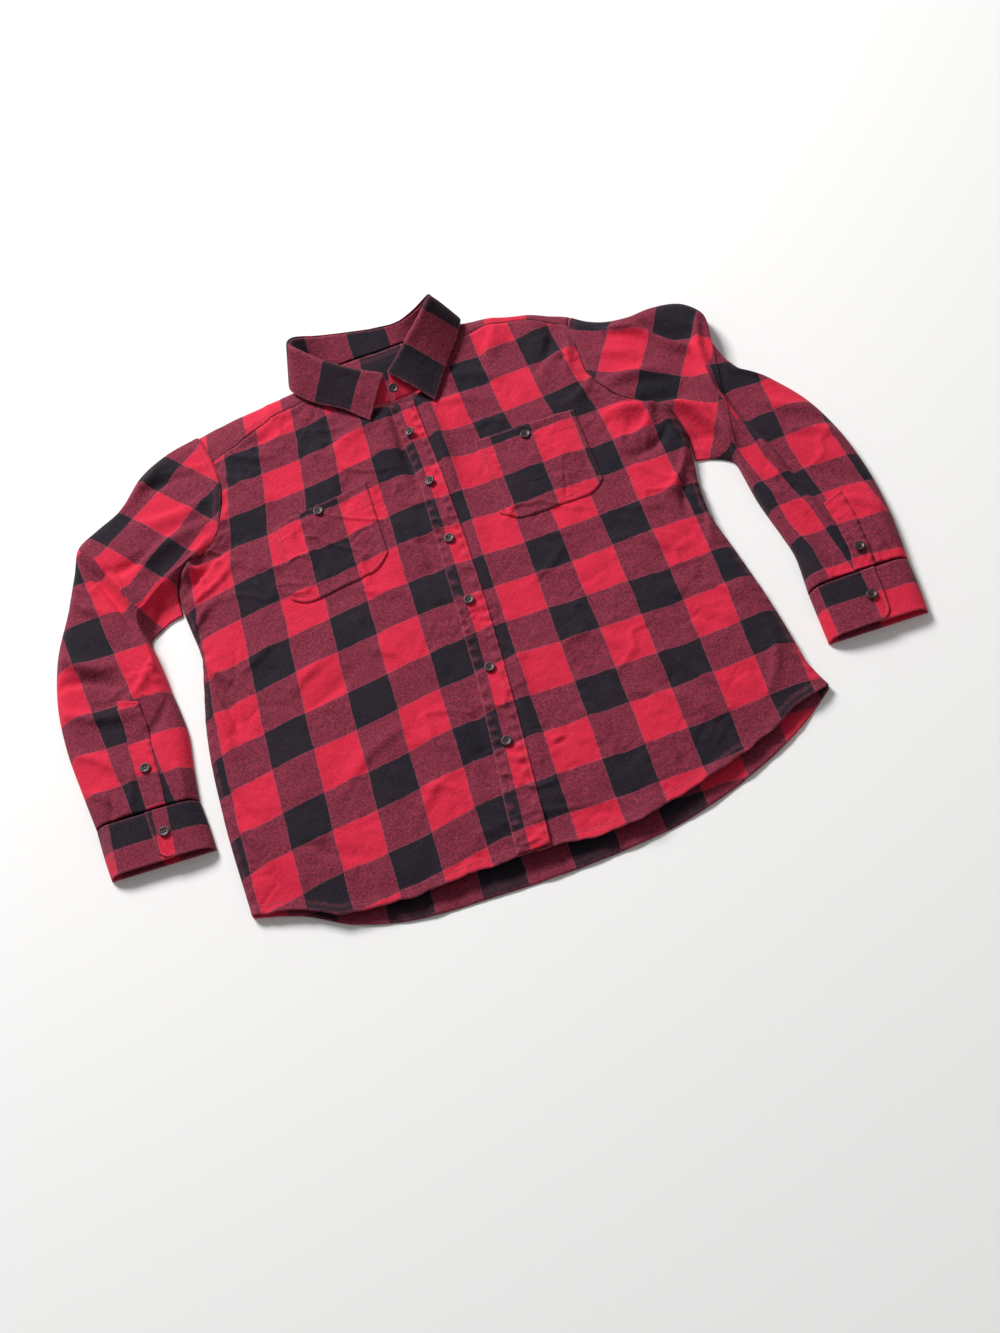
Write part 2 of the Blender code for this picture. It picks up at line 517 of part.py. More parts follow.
BAND_TOP = CLOTH + SEAM + DOUBLED + SEAM
for name, x, y, tilt in FRONT_BUTTONS:
    lean = BUTTON_RADIUS * np.sin(np.radians(tilt))
    sew_button(name, x, y, float(top_height(x, y)) + BAND_TOP + lean + 0.3, tilt)
sew_button("button_collar", 6, 364, 30.5, 0.0, 20.0)
sew_button("button_pocket_right", -124, 225, float(top_height(-124, 225)) + 2 * CLOTH + 2 * SEAM + 0.3)
sew_button("button_pocket_left", 140, 242, float(top_height(140, 242)) + 2 * CLOTH + 2 * SEAM + 0.3)
for side, strip, row in (("right", right_gauntlet, 5), ("left", left_gauntlet, 5)):
    place = strip[row].mean(axis=0)
    sew_button("button_sleeve_" + side, place[0], place[1], strip[row, :, 2].max() + DOUBLED + SEAM + 0.3)
for side, rows in (("right", RIGHT_CUFF), ("left", LEFT_CUFF)):
    place = sleeve_top(rows[1], [CUFF_LAP[side] + 0.12])[0]
    sew_button("button_cuff_" + side, place[0], place[1], place[2] + DOUBLED + 2 * SEAM + DOUBLED * 0.4)
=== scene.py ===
"""Flannel work shirt in a red and black buffalo check, buttoned and laid flat on its back.

Right and left are the wearer's, so the right side lies at -X. The tables hold millimetres.
"""

import bpy
import numpy as np
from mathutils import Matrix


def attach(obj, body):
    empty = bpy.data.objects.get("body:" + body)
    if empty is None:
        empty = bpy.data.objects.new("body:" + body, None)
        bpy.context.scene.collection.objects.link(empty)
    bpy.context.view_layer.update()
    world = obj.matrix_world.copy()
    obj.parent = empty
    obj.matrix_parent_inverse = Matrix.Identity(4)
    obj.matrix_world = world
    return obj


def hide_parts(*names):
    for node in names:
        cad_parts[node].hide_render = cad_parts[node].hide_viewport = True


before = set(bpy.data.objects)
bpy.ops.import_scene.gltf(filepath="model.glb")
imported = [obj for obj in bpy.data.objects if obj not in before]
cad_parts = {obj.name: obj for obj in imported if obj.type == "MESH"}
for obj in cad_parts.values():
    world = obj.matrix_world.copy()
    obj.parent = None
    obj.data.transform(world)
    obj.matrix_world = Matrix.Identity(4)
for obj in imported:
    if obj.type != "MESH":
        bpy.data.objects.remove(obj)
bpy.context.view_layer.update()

# ---- Camera: a standing viewer's lens, looking down at the shirt from beyond its hem ----
# 57.5 degrees above the horizon and rolled, so that the shirt lies turned in view.
ELEVATION, ROLL, DISTANCE = np.radians(57.5), np.radians(17.55), 2.027

lens = bpy.data.cameras.new("camera")
lens.lens, lens.sensor_width = 48.2, 36.0
lens.shift_x, lens.shift_y = 0.0240, -0.0199
camera = bpy.data.objects.new("camera", lens)
bpy.context.collection.objects.link(camera)
bpy.context.scene.camera = camera
backward = np.array([0, -np.cos(ELEVATION), np.sin(ELEVATION)])
upward = np.array([0, np.sin(ELEVATION), np.cos(ELEVATION)])
sideways = np.array([1.0, 0, 0])
pose = np.eye(4)
pose[:3, 0] = sideways * np.cos(ROLL) - upward * np.sin(ROLL)
pose[:3, 1] = sideways * np.sin(ROLL) + upward * np.cos(ROLL)
pose[:3, 2] = backward
pose[:3, 3] = backward * DISTANCE
camera.matrix_world = pose.T.tolist()
bpy.context.scene.view_settings.view_transform = "Standard"

# ---- Fronts: the right and left front panels, brushed cotton twill of about 180 g a square metre ----
# Each is cut from the hem to the front yoke seam, with its hem turned up twice and topstitched,
# and joined at the side and armhole with flat-felled seams.
CLOTH = 1.2
SEAM = 0.4
REST = CLOTH + SEAM
LOFT = 13.0
SIDE_ROLL, SHOULDER_ROLL = 24.0, 22.0
CHECK = 50.8  # one square of the buffalo check: 2 inches
SIDE_POINTS, HOLE_POINTS, TOP_POINTS, FRONT_COLUMNS = 165, 96, 60, 118

RIGHT_SIDE = ((-306, -252), (-314, -135), (-312, -5), (-306, 38), (-300, 81), (-306, 126), (-310, 152))
LEFT_SIDE = ((355, -197), (343, -160), (338, -110), (330, -54), (320, 2), (309, 61), (312, 110), (317, 142))
RIGHT_ARMHOLE = ((-310, 152), (-308, 184), (-294, 205), (-265, 221), (-244, 249), (-237, 275), (-231, 302),
                 (-233, 350), (-246, 403))
LEFT_ARMHOLE = ((317, 142), (319, 185), (306, 219), (284, 240), (262, 259), (247, 282), (238, 302), (236, 348),
                (236, 388), (243, 407))
FRONT_HEM = ((-306, -252), (-253, -267), (-209, -285), (-151, -289), (-50, -285), (0, -282), (65, -287),
             (130, -282), (202, -258), (275, -233), (330, -205), (355, -197))
RIGHT_YOKE_SEAM = ((-233, 350), (-201, 362), (-176, 375), (-150, 387), (-118, 395), (-92, 404))
LEFT_YOKE_SEAM = ((236, 388), (206, 408), (186, 418), (151, 425), (118, 424), (84, 410))
SHOULDERS = ((-246, 404), (-209, 412), (-166, 419), (-116, 425), (-94, 428), (-60, 426), (0, 425), (60, 432),
             (84, 446), (104, 453), (151, 445), (202, 428), (243, 408))
RIGHT_NECK = ((-3, 349), (-40, 357), (-74, 377), (-92, 404), (-94, 424), (-80, 442), (-40, 449), (0, 450))
LEFT_NECK = ((3, 349), (42, 358), (70, 379), (84, 410), (86, 430), (74, 447), (40, 452), (0, 450))
# Placket edges, columns: y, left x, right x
PLACKET = ((346, -6, 25), (300, -4, 27), (255, -1, 29), (211, 1, 31), (131, -1, 33), (40, -2, 33), (-50, -4, 31),
           (-150, -10, 26), (-222, -16, 22), (-281, -19, 19))
# The large soft folds that the panels are built with, columns: x, y, x, y, half-width, height
LARGE_FOLDS = ((262, 230, 308, 217, 13, 6), (300, 205, 316, 150, 9, 5), (-300, 196, -258, 203, 8, 5),
               (0, 372, 0, 340, 55, 3), (215, 300, 190, 405, 14, 4), (140, 425, 150, 400, 12, 4),
               (-190, 372, -130, 392, 10, 3))
# Creases of the worn cloth, columns: x, y, x, y, bow of the line, half-width, height
FRONT_CREASES = (
    # round the right armpit and down the right side
    (-296, 190, -238, 262, 8, 9, 4.5), (-300, 170, -222, 226, 6, 8, -3.0), (-304, 150, -236, 196, -5, 7, 2.6),
    (-303, 110, -262, 150, 6, 7, 2.4), (-298, 84, -268, 30, -7, 6, 2.6), (-301, 60, -276, -40, 5, 5, -2.4),
    (-306, 20, -288, -66, 4, 6, 2.2), (-306, -80, -280, -150, -5, 7, -2.0), (-309, -140, -272, -215, 7, 8, 2.2),
    (-236, 330, -180, 260, 8, 9, 2.0), (-214, 352, -150, 330, -6, 9, 1.8),
    # the right front below the pocket
    (-206, -10, -156, 22, 5, 8, 1.5), (-196, -34, -120, 10, -6, 9, -1.2), (-118, 20, -64, -24, 6, 8, 1.2),
    (-178, -150, -96, -92, 8, 10, 1.6), (-236, -190, -150, -236, -8, 10, -1.6), (-112, -214, -52, -160, 6, 9, 1.3),
    (-92, 96, -40, 60, 5, 8, 1.1), (-262, 40, -212, 70, -4, 8, 1.6),
    # either side of the placket, where its top is twisted
    (36, 338, 38, 196, 2, 12, 4.6), (-5, 330, -1, 206, -2, 9, -4.4), (44, 200, 40, 60, 3, 12, 1.4),
    (-12, 180, -10, 30, -3, 10, -1.2), (-16, -60, -26, -210, 3, 11, -1.6), (40, -70, 32, -220, -3, 11, 1.4),
    (46, 330, 120, 306, 8, 9, 1.6), (60, 366, 150, 330, 10, 10, 1.7), (-20, 336, -96, 300, -8, 10, 1.8),
    # round the left armpit and down the left side
    (306, 214, 232, 236, -9, 9, 3.6), (300, 190, 246, 168, 8, 8, -3.4), (312, 160, 268, 96, 8, 8, 3.4),
    (306, 130, 282, 60, -5, 6, -2.8), (296, 236, 262, 190, 6, 8, 3.0), (310, 90, 292, 10, 4, 7, 2.4),
    (240, 300, 196, 268, 6, 9, 2.2), (232, 352, 176, 318, -8, 10, 2.4), (214, 396, 176, 330, 8, 9, -2.4),
    (150, 420, 128, 356, -6, 10, 2.0), (226, 380, 214, 318, 5, 7, 2.6),
    # the left front below the pocket
    (112, -40, 196, -120, 7, 10, 1.7), (196, -86, 262, -170, -8, 9, 1.8), (236, -60, 306, -140, 7, 9, -1.6),
    (160, -140, 236, -196, 6, 10, 1.5), (92, 40, 150, 92, -6, 9, 1.2), (262, -30, 312, -70, 5, 8, 1.8),
    (72, -120, 128, -196, 6, 9, 1.3), (200, 60, 262, 20, 6, 10, 1.6), (318, -120, 290, -190, 6, 8, 2.2),
)
# Middles of the black cross stripes, columns: x, then y from the top stripe down
RIGHT_STRIPES = ((-310, 306, 222, 122, 18, -82, -188, -286), (-222, 325, 239, 142, 37, -64, -169, -266),
                 (-121, 335, 247, 152, 56, -49, -154, -254), (-30, 353, 264, 171, 68, -33, -135, -234),
                 (30, 355, 264, 172, 70, -28, -130, -231))
LEFT_STRIPES = ((-30, 353, 264, 171, 68, -33, -135, -234), (40, 356, 263, 171, 70, -24, -127, -229),
                (121, 362, 265, 173, 71, -24, -126, -228), (227, 376, 271, 174, 79, -24, -123, -221),
                (320, 384, 274, 176, 84, -16, -114, -210))


def curve(rows, count):
    """Evenly spaced points on a smooth curve (cubic Hermite, slopes from its neighbours) through the rows."""
    rows = np.array(rows, float)
    knots = np.concatenate([[0], np.cumsum(np.linalg.norm(np.diff(rows, axis=0), axis=1))])
    slopes = np.gradient(rows, knots, axis=0)
    dense = np.linspace(0, knots[-1], max(30 * len(rows), 2 * count))
    k = np.clip(np.searchsorted(knots, dense, side="right") - 1, 0, len(rows) - 2)
    span = (knots[k + 1] - knots[k])[:, None]
    t = (dense - knots[k])[:, None] / span
    points = ((2 * t**3 - 3 * t**2 + 1) * rows[k] + (t**3 - 2 * t**2 + t) * span * slopes[k]
              + (3 * t**2 - 2 * t**3) * rows[k + 1] + (t**3 - t**2) * span * slopes[k + 1])
    return spaced(points, np.linspace(0, 1, count))


def spaced(points, shares):
    """The points at these shares of a line's length."""
    lengths = np.concatenate([[0], np.cumsum(np.linalg.norm(np.diff(points, axis=0), axis=1))])
    return np.stack([np.interp(np.asarray(shares) * lengths[-1], lengths, axis) for axis in points.T], axis=1)


def rolled(distance, radius):
    """A quarter circle: 0 and upright at the fold, 1 from one radius inwards."""
    return np.sqrt(1 - (1 - np.clip(distance / radius, 0, 1)) ** 2)


def eased(value):
    """0 below 0, 1 above 1, and 3t^2 - 2t^3 between."""
    t = np.clip(value, 0, 1)
    return t * t * (3 - 2 * t)


def bell(distance, width):
    """1 at no distance and exp(-(distance / width)^2) away from it."""
    return np.exp(-((distance / width) ** 2))


def creased(x, y, rows):
    """Summed creases: a bell across a bowed line, steeper on one flank, that dies away towards both ends."""
    height = np.zeros(np.broadcast(x, y).shape)
    for x0, y0, x1, y1, bow, width, rise in rows:
        length = np.hypot(x1 - x0, y1 - y0)
        ux, uy = (x1 - x0) / length, (y1 - y0) / length
        along = ((x - x0) * ux + (y - y0) * uy) / length
        inside = np.clip(along, 0, 1)
        across = -(x - x0) * uy + (y - y0) * ux - bow * 4 * inside * (1 - inside)
        beyond = (along - inside) * length
        flank = np.where(across > 0, 1.0, 0.62) * width * (0.75 + 0.5 * inside)
        taper = 0.25 + 0.75 * np.sin(np.pi * inside) ** 0.8
        height = height + rise * taper * np.exp(-((across / flank) ** 2) - (beyond / width) ** 2)
    return height


def undulating(x, y, size, rise, seed):
    """Slow uneven swells: three octaves of seeded heights on a square lattice, eased between its points."""
    heights = np.random.default_rng(seed).uniform(-1, 1, (64, 64))
    total = np.zeros(np.broadcast(x, y).shape)
    for octave in range(3):
        step = size / 1.9**octave
        turn = 0.5 + octave
        a = (x * np.cos(turn) + y * np.sin(turn)) / step + 500.3
        b = (y * np.cos(turn) - x * np.sin(turn)) / step + 500.7
        i, j = np.floor(a).astype(int), np.floor(b).astype(int)
        s, t = eased(a - i), eased(b - j)
        i, j, right, above = i % 64, j % 64, (i + 1) % 64, (j + 1) % 64
        total = total + ((heights[i, j] * (1 - s) + heights[right, j] * s) * (1 - t)
                         + (heights[i, above] * (1 - s) + heights[right, above] * s) * t) / 1.8**octave
    return rise * total


def crumpled(x, y, size, width, rise, seed):
    """Fine uneven wrinkles: crests where one slow swell crosses zero, as deep as a second one allows."""
    crest = bell(undulating(x, y, size, 1.0, seed), width)
    return rise * crest * eased(0.35 + 1.2 * undulating(x, y, 1.7 * size, 1.0, seed + 50))


def top_height(x, y):
    """Underside of the shirt's top layer: rolled down at the side and shoulder folds, flat between them."""
    right = np.array(RIGHT_SIDE + ((-315, 200), (-420, 250)))
    left = np.array(LEFT_SIDE + ((324, 190), (330, 222), (440, 270)))
    shoulders = np.array(SHOULDERS)
    from_side = np.minimum(x - np.interp(y, right[:, 1], right[:, 0]), np.interp(y, left[:, 1], left[:, 0]) - x)
    from_shoulder = np.interp(x, shoulders[:, 0], shoulders[:, 1]) - y
    rounding = rolled(from_side, SIDE_ROLL) * rolled(from_shoulder, SHOULDER_ROLL)
    folds = np.zeros(np.broadcast(x, y).shape)
    for x0, y0, x1, y1, width, rise in LARGE_FOLDS:
        along = np.clip(((x - x0) * (x1 - x0) + (y - y0) * (y1 - y0)) / ((x1 - x0) ** 2 + (y1 - y0) ** 2), 0, 1)
        away = np.hypot(x - x0 - along * (x1 - x0), y - y0 - along * (y1 - y0))
        folds = folds + rise * bell(away, width)
    return REST + (LOFT + folds) * rounding, rounding


def worn_top(x, y):
    """Outer height of the fronts as worn: the built form, its creases and the slow swells of washed cotton."""
    height, rounding = top_height(x, y)
    relief = 2.0 * creased(x, y, FRONT_CREASES) + undulating(x, y, 46, 1.4, 5) + undulating(x, y, 15, 0.4, 8)
    relief = relief + crumpled(x + 0.6 * y, y, 62, 0.13, 2.4, 11) + crumpled(x - 0.4 * y, y, 40, 0.14, -1.6, 12)
    return height + CLOTH + relief * (0.25 + 0.75 * rounding)


def coons(bottom, top, start, end):
    """A four-sided panel blended between its boundary curves: both ruled surfaces less the corners' bilinear one."""
    v = np.linspace(0, 1, len(start))[:, None, None]
    shares = np.concatenate([[0], np.cumsum(np.linalg.norm(np.diff(bottom, axis=0), axis=1))])
    u = (shares / shares[-1])[None, :, None]
    ruled = (1 - v) * bottom[None] + v * top[None] + (1 - u) * start[:, None] + u * end[:, None]
    corners = (1 - u) * (1 - v) * bottom[0] + u * (1 - v) * bottom[-1] + (1 - u) * v * top[0] + u * v * top[-1]
    return ruled - corners


def unit(rows):
    return rows / np.linalg.norm(rows, axis=1, keepdims=True)


def together(*parts):
    """The parts side by side on a new last axis, each first repeated to the full grid."""
    return np.stack(np.broadcast_arrays(*parts), axis=-1)


def run_lengths(grid, axis):
    """Distance along a grid's lines from their first points."""
    steps = np.linalg.norm(np.diff(grid, axis=axis), axis=2)
    first = np.zeros_like(np.take(steps, [0], axis=axis))
    return np.concatenate([first, np.cumsum(steps, axis=axis)], axis=axis)


def stripe_place(x, y, rows):
    """Cloth coordinate up the panel, in squares: 2k + 0.5 at the middle of each black stripe of the table."""
    table = np.array(rows, float)
    middles = [np.interp(x, table[:, 0], column) for column in table[:, 1:].T]
    place = 0.5 + np.maximum(y - middles[0], 0) / CHECK + np.minimum(y - middles[-1], 0) / CHECK
    for upper, lower in zip(middles, middles[1:]):
        place = place + 2 * np.clip((y - lower) / (upper - lower), 0, 1)
    return place


def new_piece(name, points, faces, material):
    """A smooth mesh object from points in millimetres."""
    mesh = bpy.data.meshes.new(name)
    mesh.from_pydata((points.reshape(-1, 3) / 1000).tolist(), [], faces.tolist())
    mesh.polygons.foreach_set("use_smooth", np.ones(len(faces), bool))
    mesh.materials.append(material)
    mesh.update()
    piece = bpy.data.objects.new(name, mesh)
    bpy.context.collection.objects.link(piece)
    return piece


def cloth_piece(name, grid, check, wear, side=1, thickness=CLOTH, wall=-1, ring=False):
    """A cloth wall from a grid of outer points. check holds each point's place in the check, and wear its paling:
    fading from wear, and on the placket also a painted highlight on the pucker crests.
    Where the check changes at a fold, check holds both places and a third mark that picks one for each face."""
    rows, columns = grid.shape[:2]
    index = np.arange(rows * columns).reshape(rows, columns)
    spot = index
    if ring:
        index, check = np.concatenate([index, index[:, :1]], axis=1), np.concatenate([check, check[:, :1]], axis=1)
        spot = np.arange(index.size).reshape(rows, -1)
    corners = [(slice(None, -1), slice(None, -1)), (slice(None, -1), slice(1, None)),
               (slice(1, None), slice(1, None)), (slice(1, None), slice(None, -1))]
    if side < 0:
        corners = corners[::-1]
    faces = np.stack([index[c] for c in corners], axis=-1).reshape(-1, 4)
    places = np.stack([spot[c] for c in corners], axis=-1).reshape(-1)
    piece = new_piece(name + "_cloth", grid, faces, FLANNEL)
    layer = piece.data.uv_layers.new(name="check")
    places = check.reshape(len(check) * check.shape[1], -1)[places].reshape(len(faces), 4, -1)
    if places.shape[2] == 5:
        places = np.where(places[:, :1, 4:] > 0, places[..., 2:4], places[..., :2])
    layer.data.foreach_set("uv", places.astype(np.float32).ravel())
    worn = piece.data.attributes.new("wear", "FLOAT", "POINT")
    worn.data.foreach_set("value", np.broadcast_to(wear, (rows, columns)).astype(np.float32).ravel())
    layers = piece.modifiers.new("wall", "SOLIDIFY")
    layers.thickness, layers.offset, layers.use_even_offset = thickness / 1000, wall, False
    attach(piece, "root")
    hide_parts(name)
    return grid


def srgb(code):
    """An sRGB hex colour as linear red, green, blue and alpha."""
    value = np.array([int(code[i: i + 2], 16) for i in (0, 2, 4)]) / 255
    return (*np.where(value <= 0.04045, value / 12.92, ((value + 0.055) / 1.055) ** 2.4), 1.0)


def connect(made, inputs):
    """Fills a node's inputs, each from a number, a colour or another node's socket."""
    for key, value in dict(inputs).items():
        if isinstance(value, bpy.types.NodeSocket):
            made.id_data.links.new(value, made.inputs[key])
        else:
            made.inputs[key].default_value = value


def node(tree, kind, inputs=(), output=0, **settings):
    """Adds a shader node with its settings and links, and gives back one of its outputs."""
    made = tree.nodes.new("ShaderNode" + kind)
    for key, value in settings.items():
        setattr(made, key, value)
    connect(made, inputs)
    return made.outputs[output]


def new_material(name):
    """A material, its tree and its Principled shader."""
    material = bpy.data.materials.new(name)
    material.use_nodes = True
    return material, material.node_tree, material.node_tree.nodes["Principled BSDF"]


def brushed_flannel():
    """Cotton twill, yarn-dyed red and black, both sides brushed: matt, with a soft nap that catches light at
    grazing angles. Black over red gives a heathered maroon, flecked along the twill's diagonal."""
    material, tree, shader = new_material("brushed_cotton_flannel")
    place = node(tree, "UVMap", uv_map="check")
    inside = node(tree, "TexCoord", output="Object")
    # The nap blurs the stripes' edges by about a millimetre, and the weave sways a little more slowly
    soft = place
    for scale, detail, reach in ((620.0, 2.0, 0.05), (26.0, 1.0, 0.075)):
        shift = node(tree, "TexNoise", {"Vector": inside, "Scale": scale, "Detail": detail}, "Color")
        shift = node(tree, "VectorMath", {0: shift, 1: (0.5, 0.5, 0.5)}, operation="SUBTRACT")
        shift = node(tree, "VectorMath", {0: shift, "Scale": reach}, operation="SCALE")
        soft = node(tree, "VectorMath", {0: soft, 1: shift}, operation="ADD")
    axes = node(tree, "SeparateXYZ", {0: soft}).node.outputs
    stripes, edges = [], []
    for axis, low in ((0, -0.06), (1, 0.02)):
        half_turn = node(tree, "Math", {0: axes[axis], 1: np.pi}, operation="MULTIPLY")
        wave = node(tree, "Math", {0: half_turn}, operation="SINE")
        stripes.append(node(tree, "MapRange", {"Value": wave, "From Min": low, "From Max": low + 0.12}))
        centred = node(tree, "Math", {0: stripes[-1], 1: 0.5}, operation="SUBTRACT")
        edge = node(tree, "Math", {0: centred}, operation="ABSOLUTE")
        edges.append(node(tree, "MapRange", {"Value": edge, "From Min": 0.5, "From Max": 0.0, "To Max": 0.3}))
    both = node(tree, "Math", {0: stripes[0], 1: stripes[1]}, operation="ADD")
    rims = node(tree, "Math", {0: edges[0], 1: edges[1]}, operation="MAXIMUM")
    # Twill ribs at 45 degrees. Real ones are 0.5 mm apart: here they are 1.5 mm, so that they show
    ribs = node(tree, "TexWave", {"Vector": place, "Scale": 11.0, "Distortion": 2.5, "Detail": 2.0,
                                  "Detail Scale": 4.0}, "Fac", bands_direction="DIAGONAL")
    fleck = node(tree, "TexNoise", {"Vector": inside, "Scale": 380.0, "Detail": 4.0, "Roughness": 0.75}, "Fac")
    heather = node(tree, "Math", {0: ribs, 1: 0.12}, operation="MULTIPLY")
    heather = node(tree, "Math", {0: fleck, 1: heather}, operation="ADD")
    heather = node(tree, "MapRange", {"Value": heather, "From Min": 0.38, "From Max": 0.74})
    red, maroon, black = (
        node(tree, "Mix", {0: heather, 6: srgb(dark), 7: srgb(light)}, 2, data_type="RGBA")
        for dark, light in (("c81e3a", "dc2c48"), ("4c1a28", "9c344c"), ("111119", "24212c")))
    colour = red
    for passed, darker in ((0.0, maroon), (1.0, black)):
        share = node(tree, "Math", {0: both, 1: passed}, operation="SUBTRACT", use_clamp=True)
        colour = node(tree, "Mix", {0: share, 6: colour, 7: darker}, 2, data_type="RGBA")
    # Washing has paled the cloth a little in patches, and more along seams and edges. On the placket the wear
    # attribute also holds a painted highlight on the raised pucker crests.
    patches = node(tree, "TexNoise", {"Vector": inside, "Scale": 17.0, "Detail": 4.0}, "Fac")
    patches = node(tree, "MapRange", {"Value": patches, "From Min": 0.3, "From Max": 0.7, "To Max": 0.02})
    grain = node(tree, "TexNoise", {"Vector": inside, "Scale": 260.0, "Detail": 2.0}, "Fac")
    grain = node(tree, "MapRange", {"Value": grain, "From Min": 0.3, "From Max": 0.7, "To Min": 0.2, "To Max": 0.75})
    wear = node(tree, "Attribute", output="Fac", attribute_name="wear")
    pale = node(tree, "Math", {0: wear, 1: grain}, operation="MULTIPLY")
    pale = node(tree, "Math", {0: pale, 1: patches}, operation="ADD")
    pale = node(tree, "Math", {0: pale, 1: rims}, operation="ADD", use_clamp=True)
    colour = node(tree, "Mix", {0: pale, 6: colour, 7: srgb("b85a6b")}, 2, data_type="RGBA")
    # Relief: ribs and nap under a tenth of a millimetre deep, over fine wash wrinkles of about half a millimetre
    wrinkle = node(tree, "TexNoise", {"Vector": inside, "Scale": 95.0, "Detail": 3.0, "Roughness": 0.55,
                                      "Distortion": 0.6}, "Fac")
    relief = node(tree, "Bump", {"Height": wrinkle, "Strength": 0.55, "Distance": 0.0022})
    relief = node(tree, "Bump", {"Height": heather, "Strength": 0.5, "Distance": 0.0004, "Normal": relief})
    connect(shader, {"Base Color": colour, "Roughness": 0.92, "Specular IOR Level": 0.2, "Sheen Weight": 0.08,
                     "Sheen Roughness": 0.45, "Sheen Tint": srgb("e8b4ba"), "Normal": relief})
    return material


FLANNEL = brushed_flannel()


def front_panel(side_rows, hole_rows, seam_row, yoke_seam, neck, hem_rows, shift):
    """A front's plan: the hem below, side and armhole at one edge, yoke seam and neck above, the midline beyond."""
    hole = curve(hole_rows[: seam_row + 1], HOLE_POINTS)
    edge = np.concatenate([curve(side_rows, SIDE_POINTS), hole[1:]])
    band = np.array(PLACKET, float)[::-1]
    centre = np.stack([(band[:, 1] + band[:, 2]) / 2 + shift, band[:, 0]], axis=1)
    neck_part = np.array(neck[:4], float)[::-1]
    neck_part[-1] = (centre[-1][0], 347)
    top = np.concatenate([curve(yoke_seam, TOP_POINTS)[:-1], curve(neck_part, TOP_POINTS)])
    hem = np.array(hem_rows, float)
    middle_hem = np.array([[centre[0][0], np.interp(centre[0][0], hem[:, 0], hem[:, 1])]])
    keep = hem[hem[:, 0] < centre[0][0] - 20] if shift < 0 else hem[hem[:, 0] > centre[0][0] + 20][::-1]
    across = np.linspace(0, 1, FRONT_COLUMNS) ** 1.22
    bottom = spaced(curve(np.concatenate([keep, middle_hem]), 200), across)
    level = (edge[:, 1] - edge[0, 1]) / (edge[-1, 1] - edge[0, 1])
    return coons(bottom, spaced(top, across), edge,
                 spaced(np.concatenate([middle_hem, centre[1:]]), np.maximum.accumulate(level)))


def front_piece(name, plan, stripes, column_start, mirror):
    """Lifts a front's plan to its worn height and adds its turned hem, felled seams and the fading along them."""
    x, y = plan[..., 0], plan[..., 1]
    flat_grid = together(x, y, top_height(x, y)[0])
    from_side, from_hem = run_lengths(flat_grid, 1), run_lengths(flat_grid, 0)
    from_top = from_hem[-1:] - from_hem
    hem_wave = undulating(x, x * 0.3, 17, 1.0, 21)
    ripple = np.sin(y / 3.1 + 2.0 * undulating(y, y * 0.2, 30, 1.0, 3))
    z = worn_top(x, y)
    z = z - 0.3 * (z - REST - CLOTH) * bell(from_hem, 36)
    y = y + 2.2 * undulating(x, y * 0.1, 30, 1.0, 17) * bell(from_hem, 26)
    z = z + 0.9 * eased(1.6 - from_hem / 6) + (1.2 + 1.6 * hem_wave) * bell(from_hem, 16)
    z = z + 0.7 * eased(1.9 - from_side / 6) + 0.7 * ripple * bell(from_side - 8, 8)
    z = z + 0.5 * eased(1.9 - from_top / 6)
    grid = together(x, y, z)
    arc = from_side[:, -1:] - from_side
    u = (x[:, -1:] - mirror * arc) / CHECK - column_start
    v = stripe_place(x, y, stripes)
    wear = (0.75 * bell(from_hem, 2.2) + 0.32 * bell(from_hem - 10, 2.0)
            + 0.35 * bell(from_side, 3.0) + 0.22 * bell(from_side - 9, 2.4)
            + 0.3 * bell(from_top, 2.5))
    return cloth_piece(name, grid, together(u, v), wear, side=mirror)


right_plan = front_panel(RIGHT_SIDE, RIGHT_ARMHOLE, 7, RIGHT_YOKE_SEAM, RIGHT_NECK, FRONT_HEM, -0.5)
left_plan = front_panel(LEFT_SIDE, LEFT_ARMHOLE, 8, LEFT_YOKE_SEAM, LEFT_NECK, FRONT_HEM, 0.5)
right_front = front_piece("front_right", right_plan, RIGHT_STRIPES, -0.92, 1)
left_front = front_piece("front_left", left_plan, LEFT_STRIPES, 1.94, -1)

# ---- Back: one panel, lying flat, its hem longer than the fronts' ----
# The same twill. Its hem is turned up and topstitched, and shows below the fronts' as a shadowed band.
BACK_HEM = ((-308, -252), (-254, -268), (-203, -295), (-152, -309), (-51, -313), (58, -310), (152, -298),
            (239, -270), (312, -232), (357, -197))
BACK_YOKE_SEAM = ((-231, 302), (0, 298), (238, 302))
BACK_COLUMNS, BACK_SIDE, BACK_HOLE = 170, 105, 50
back_hem = curve(BACK_HEM, BACK_COLUMNS)
right_back = np.concatenate([curve(RIGHT_SIDE, BACK_SIDE), curve(RIGHT_ARMHOLE[:7], BACK_HOLE)[1:]])
left_back = np.concatenate([curve(LEFT_SIDE, BACK_SIDE), curve(LEFT_ARMHOLE[:7], BACK_HOLE)[1:]])
back_hem[0], back_hem[-1] = right_back[0], left_back[0]
back_plan = coons(back_hem, curve(BACK_YOKE_SEAM, BACK_COLUMNS) - (0, SEAM), right_back, left_back)
x, y = back_plan[..., 0], back_plan[..., 1]
from_hem = run_lengths(back_plan, 0)
rise = (0.9 + 1.3 * undulating(x, x * 0.4, 24, 1.0, 31)).clip(0, None) * bell(from_hem, 14)
back_grid = together(x, y, CLOTH + 0.1 + rise)
back_check = together(x / CHECK + 1.3, (y + 318) / CHECK)
back_wear = 0.7 * bell(from_hem, 2.5) + 0.3 * bell(from_hem - 10, 2.0)
cloth_piece("back", back_grid, back_check, back_wear)

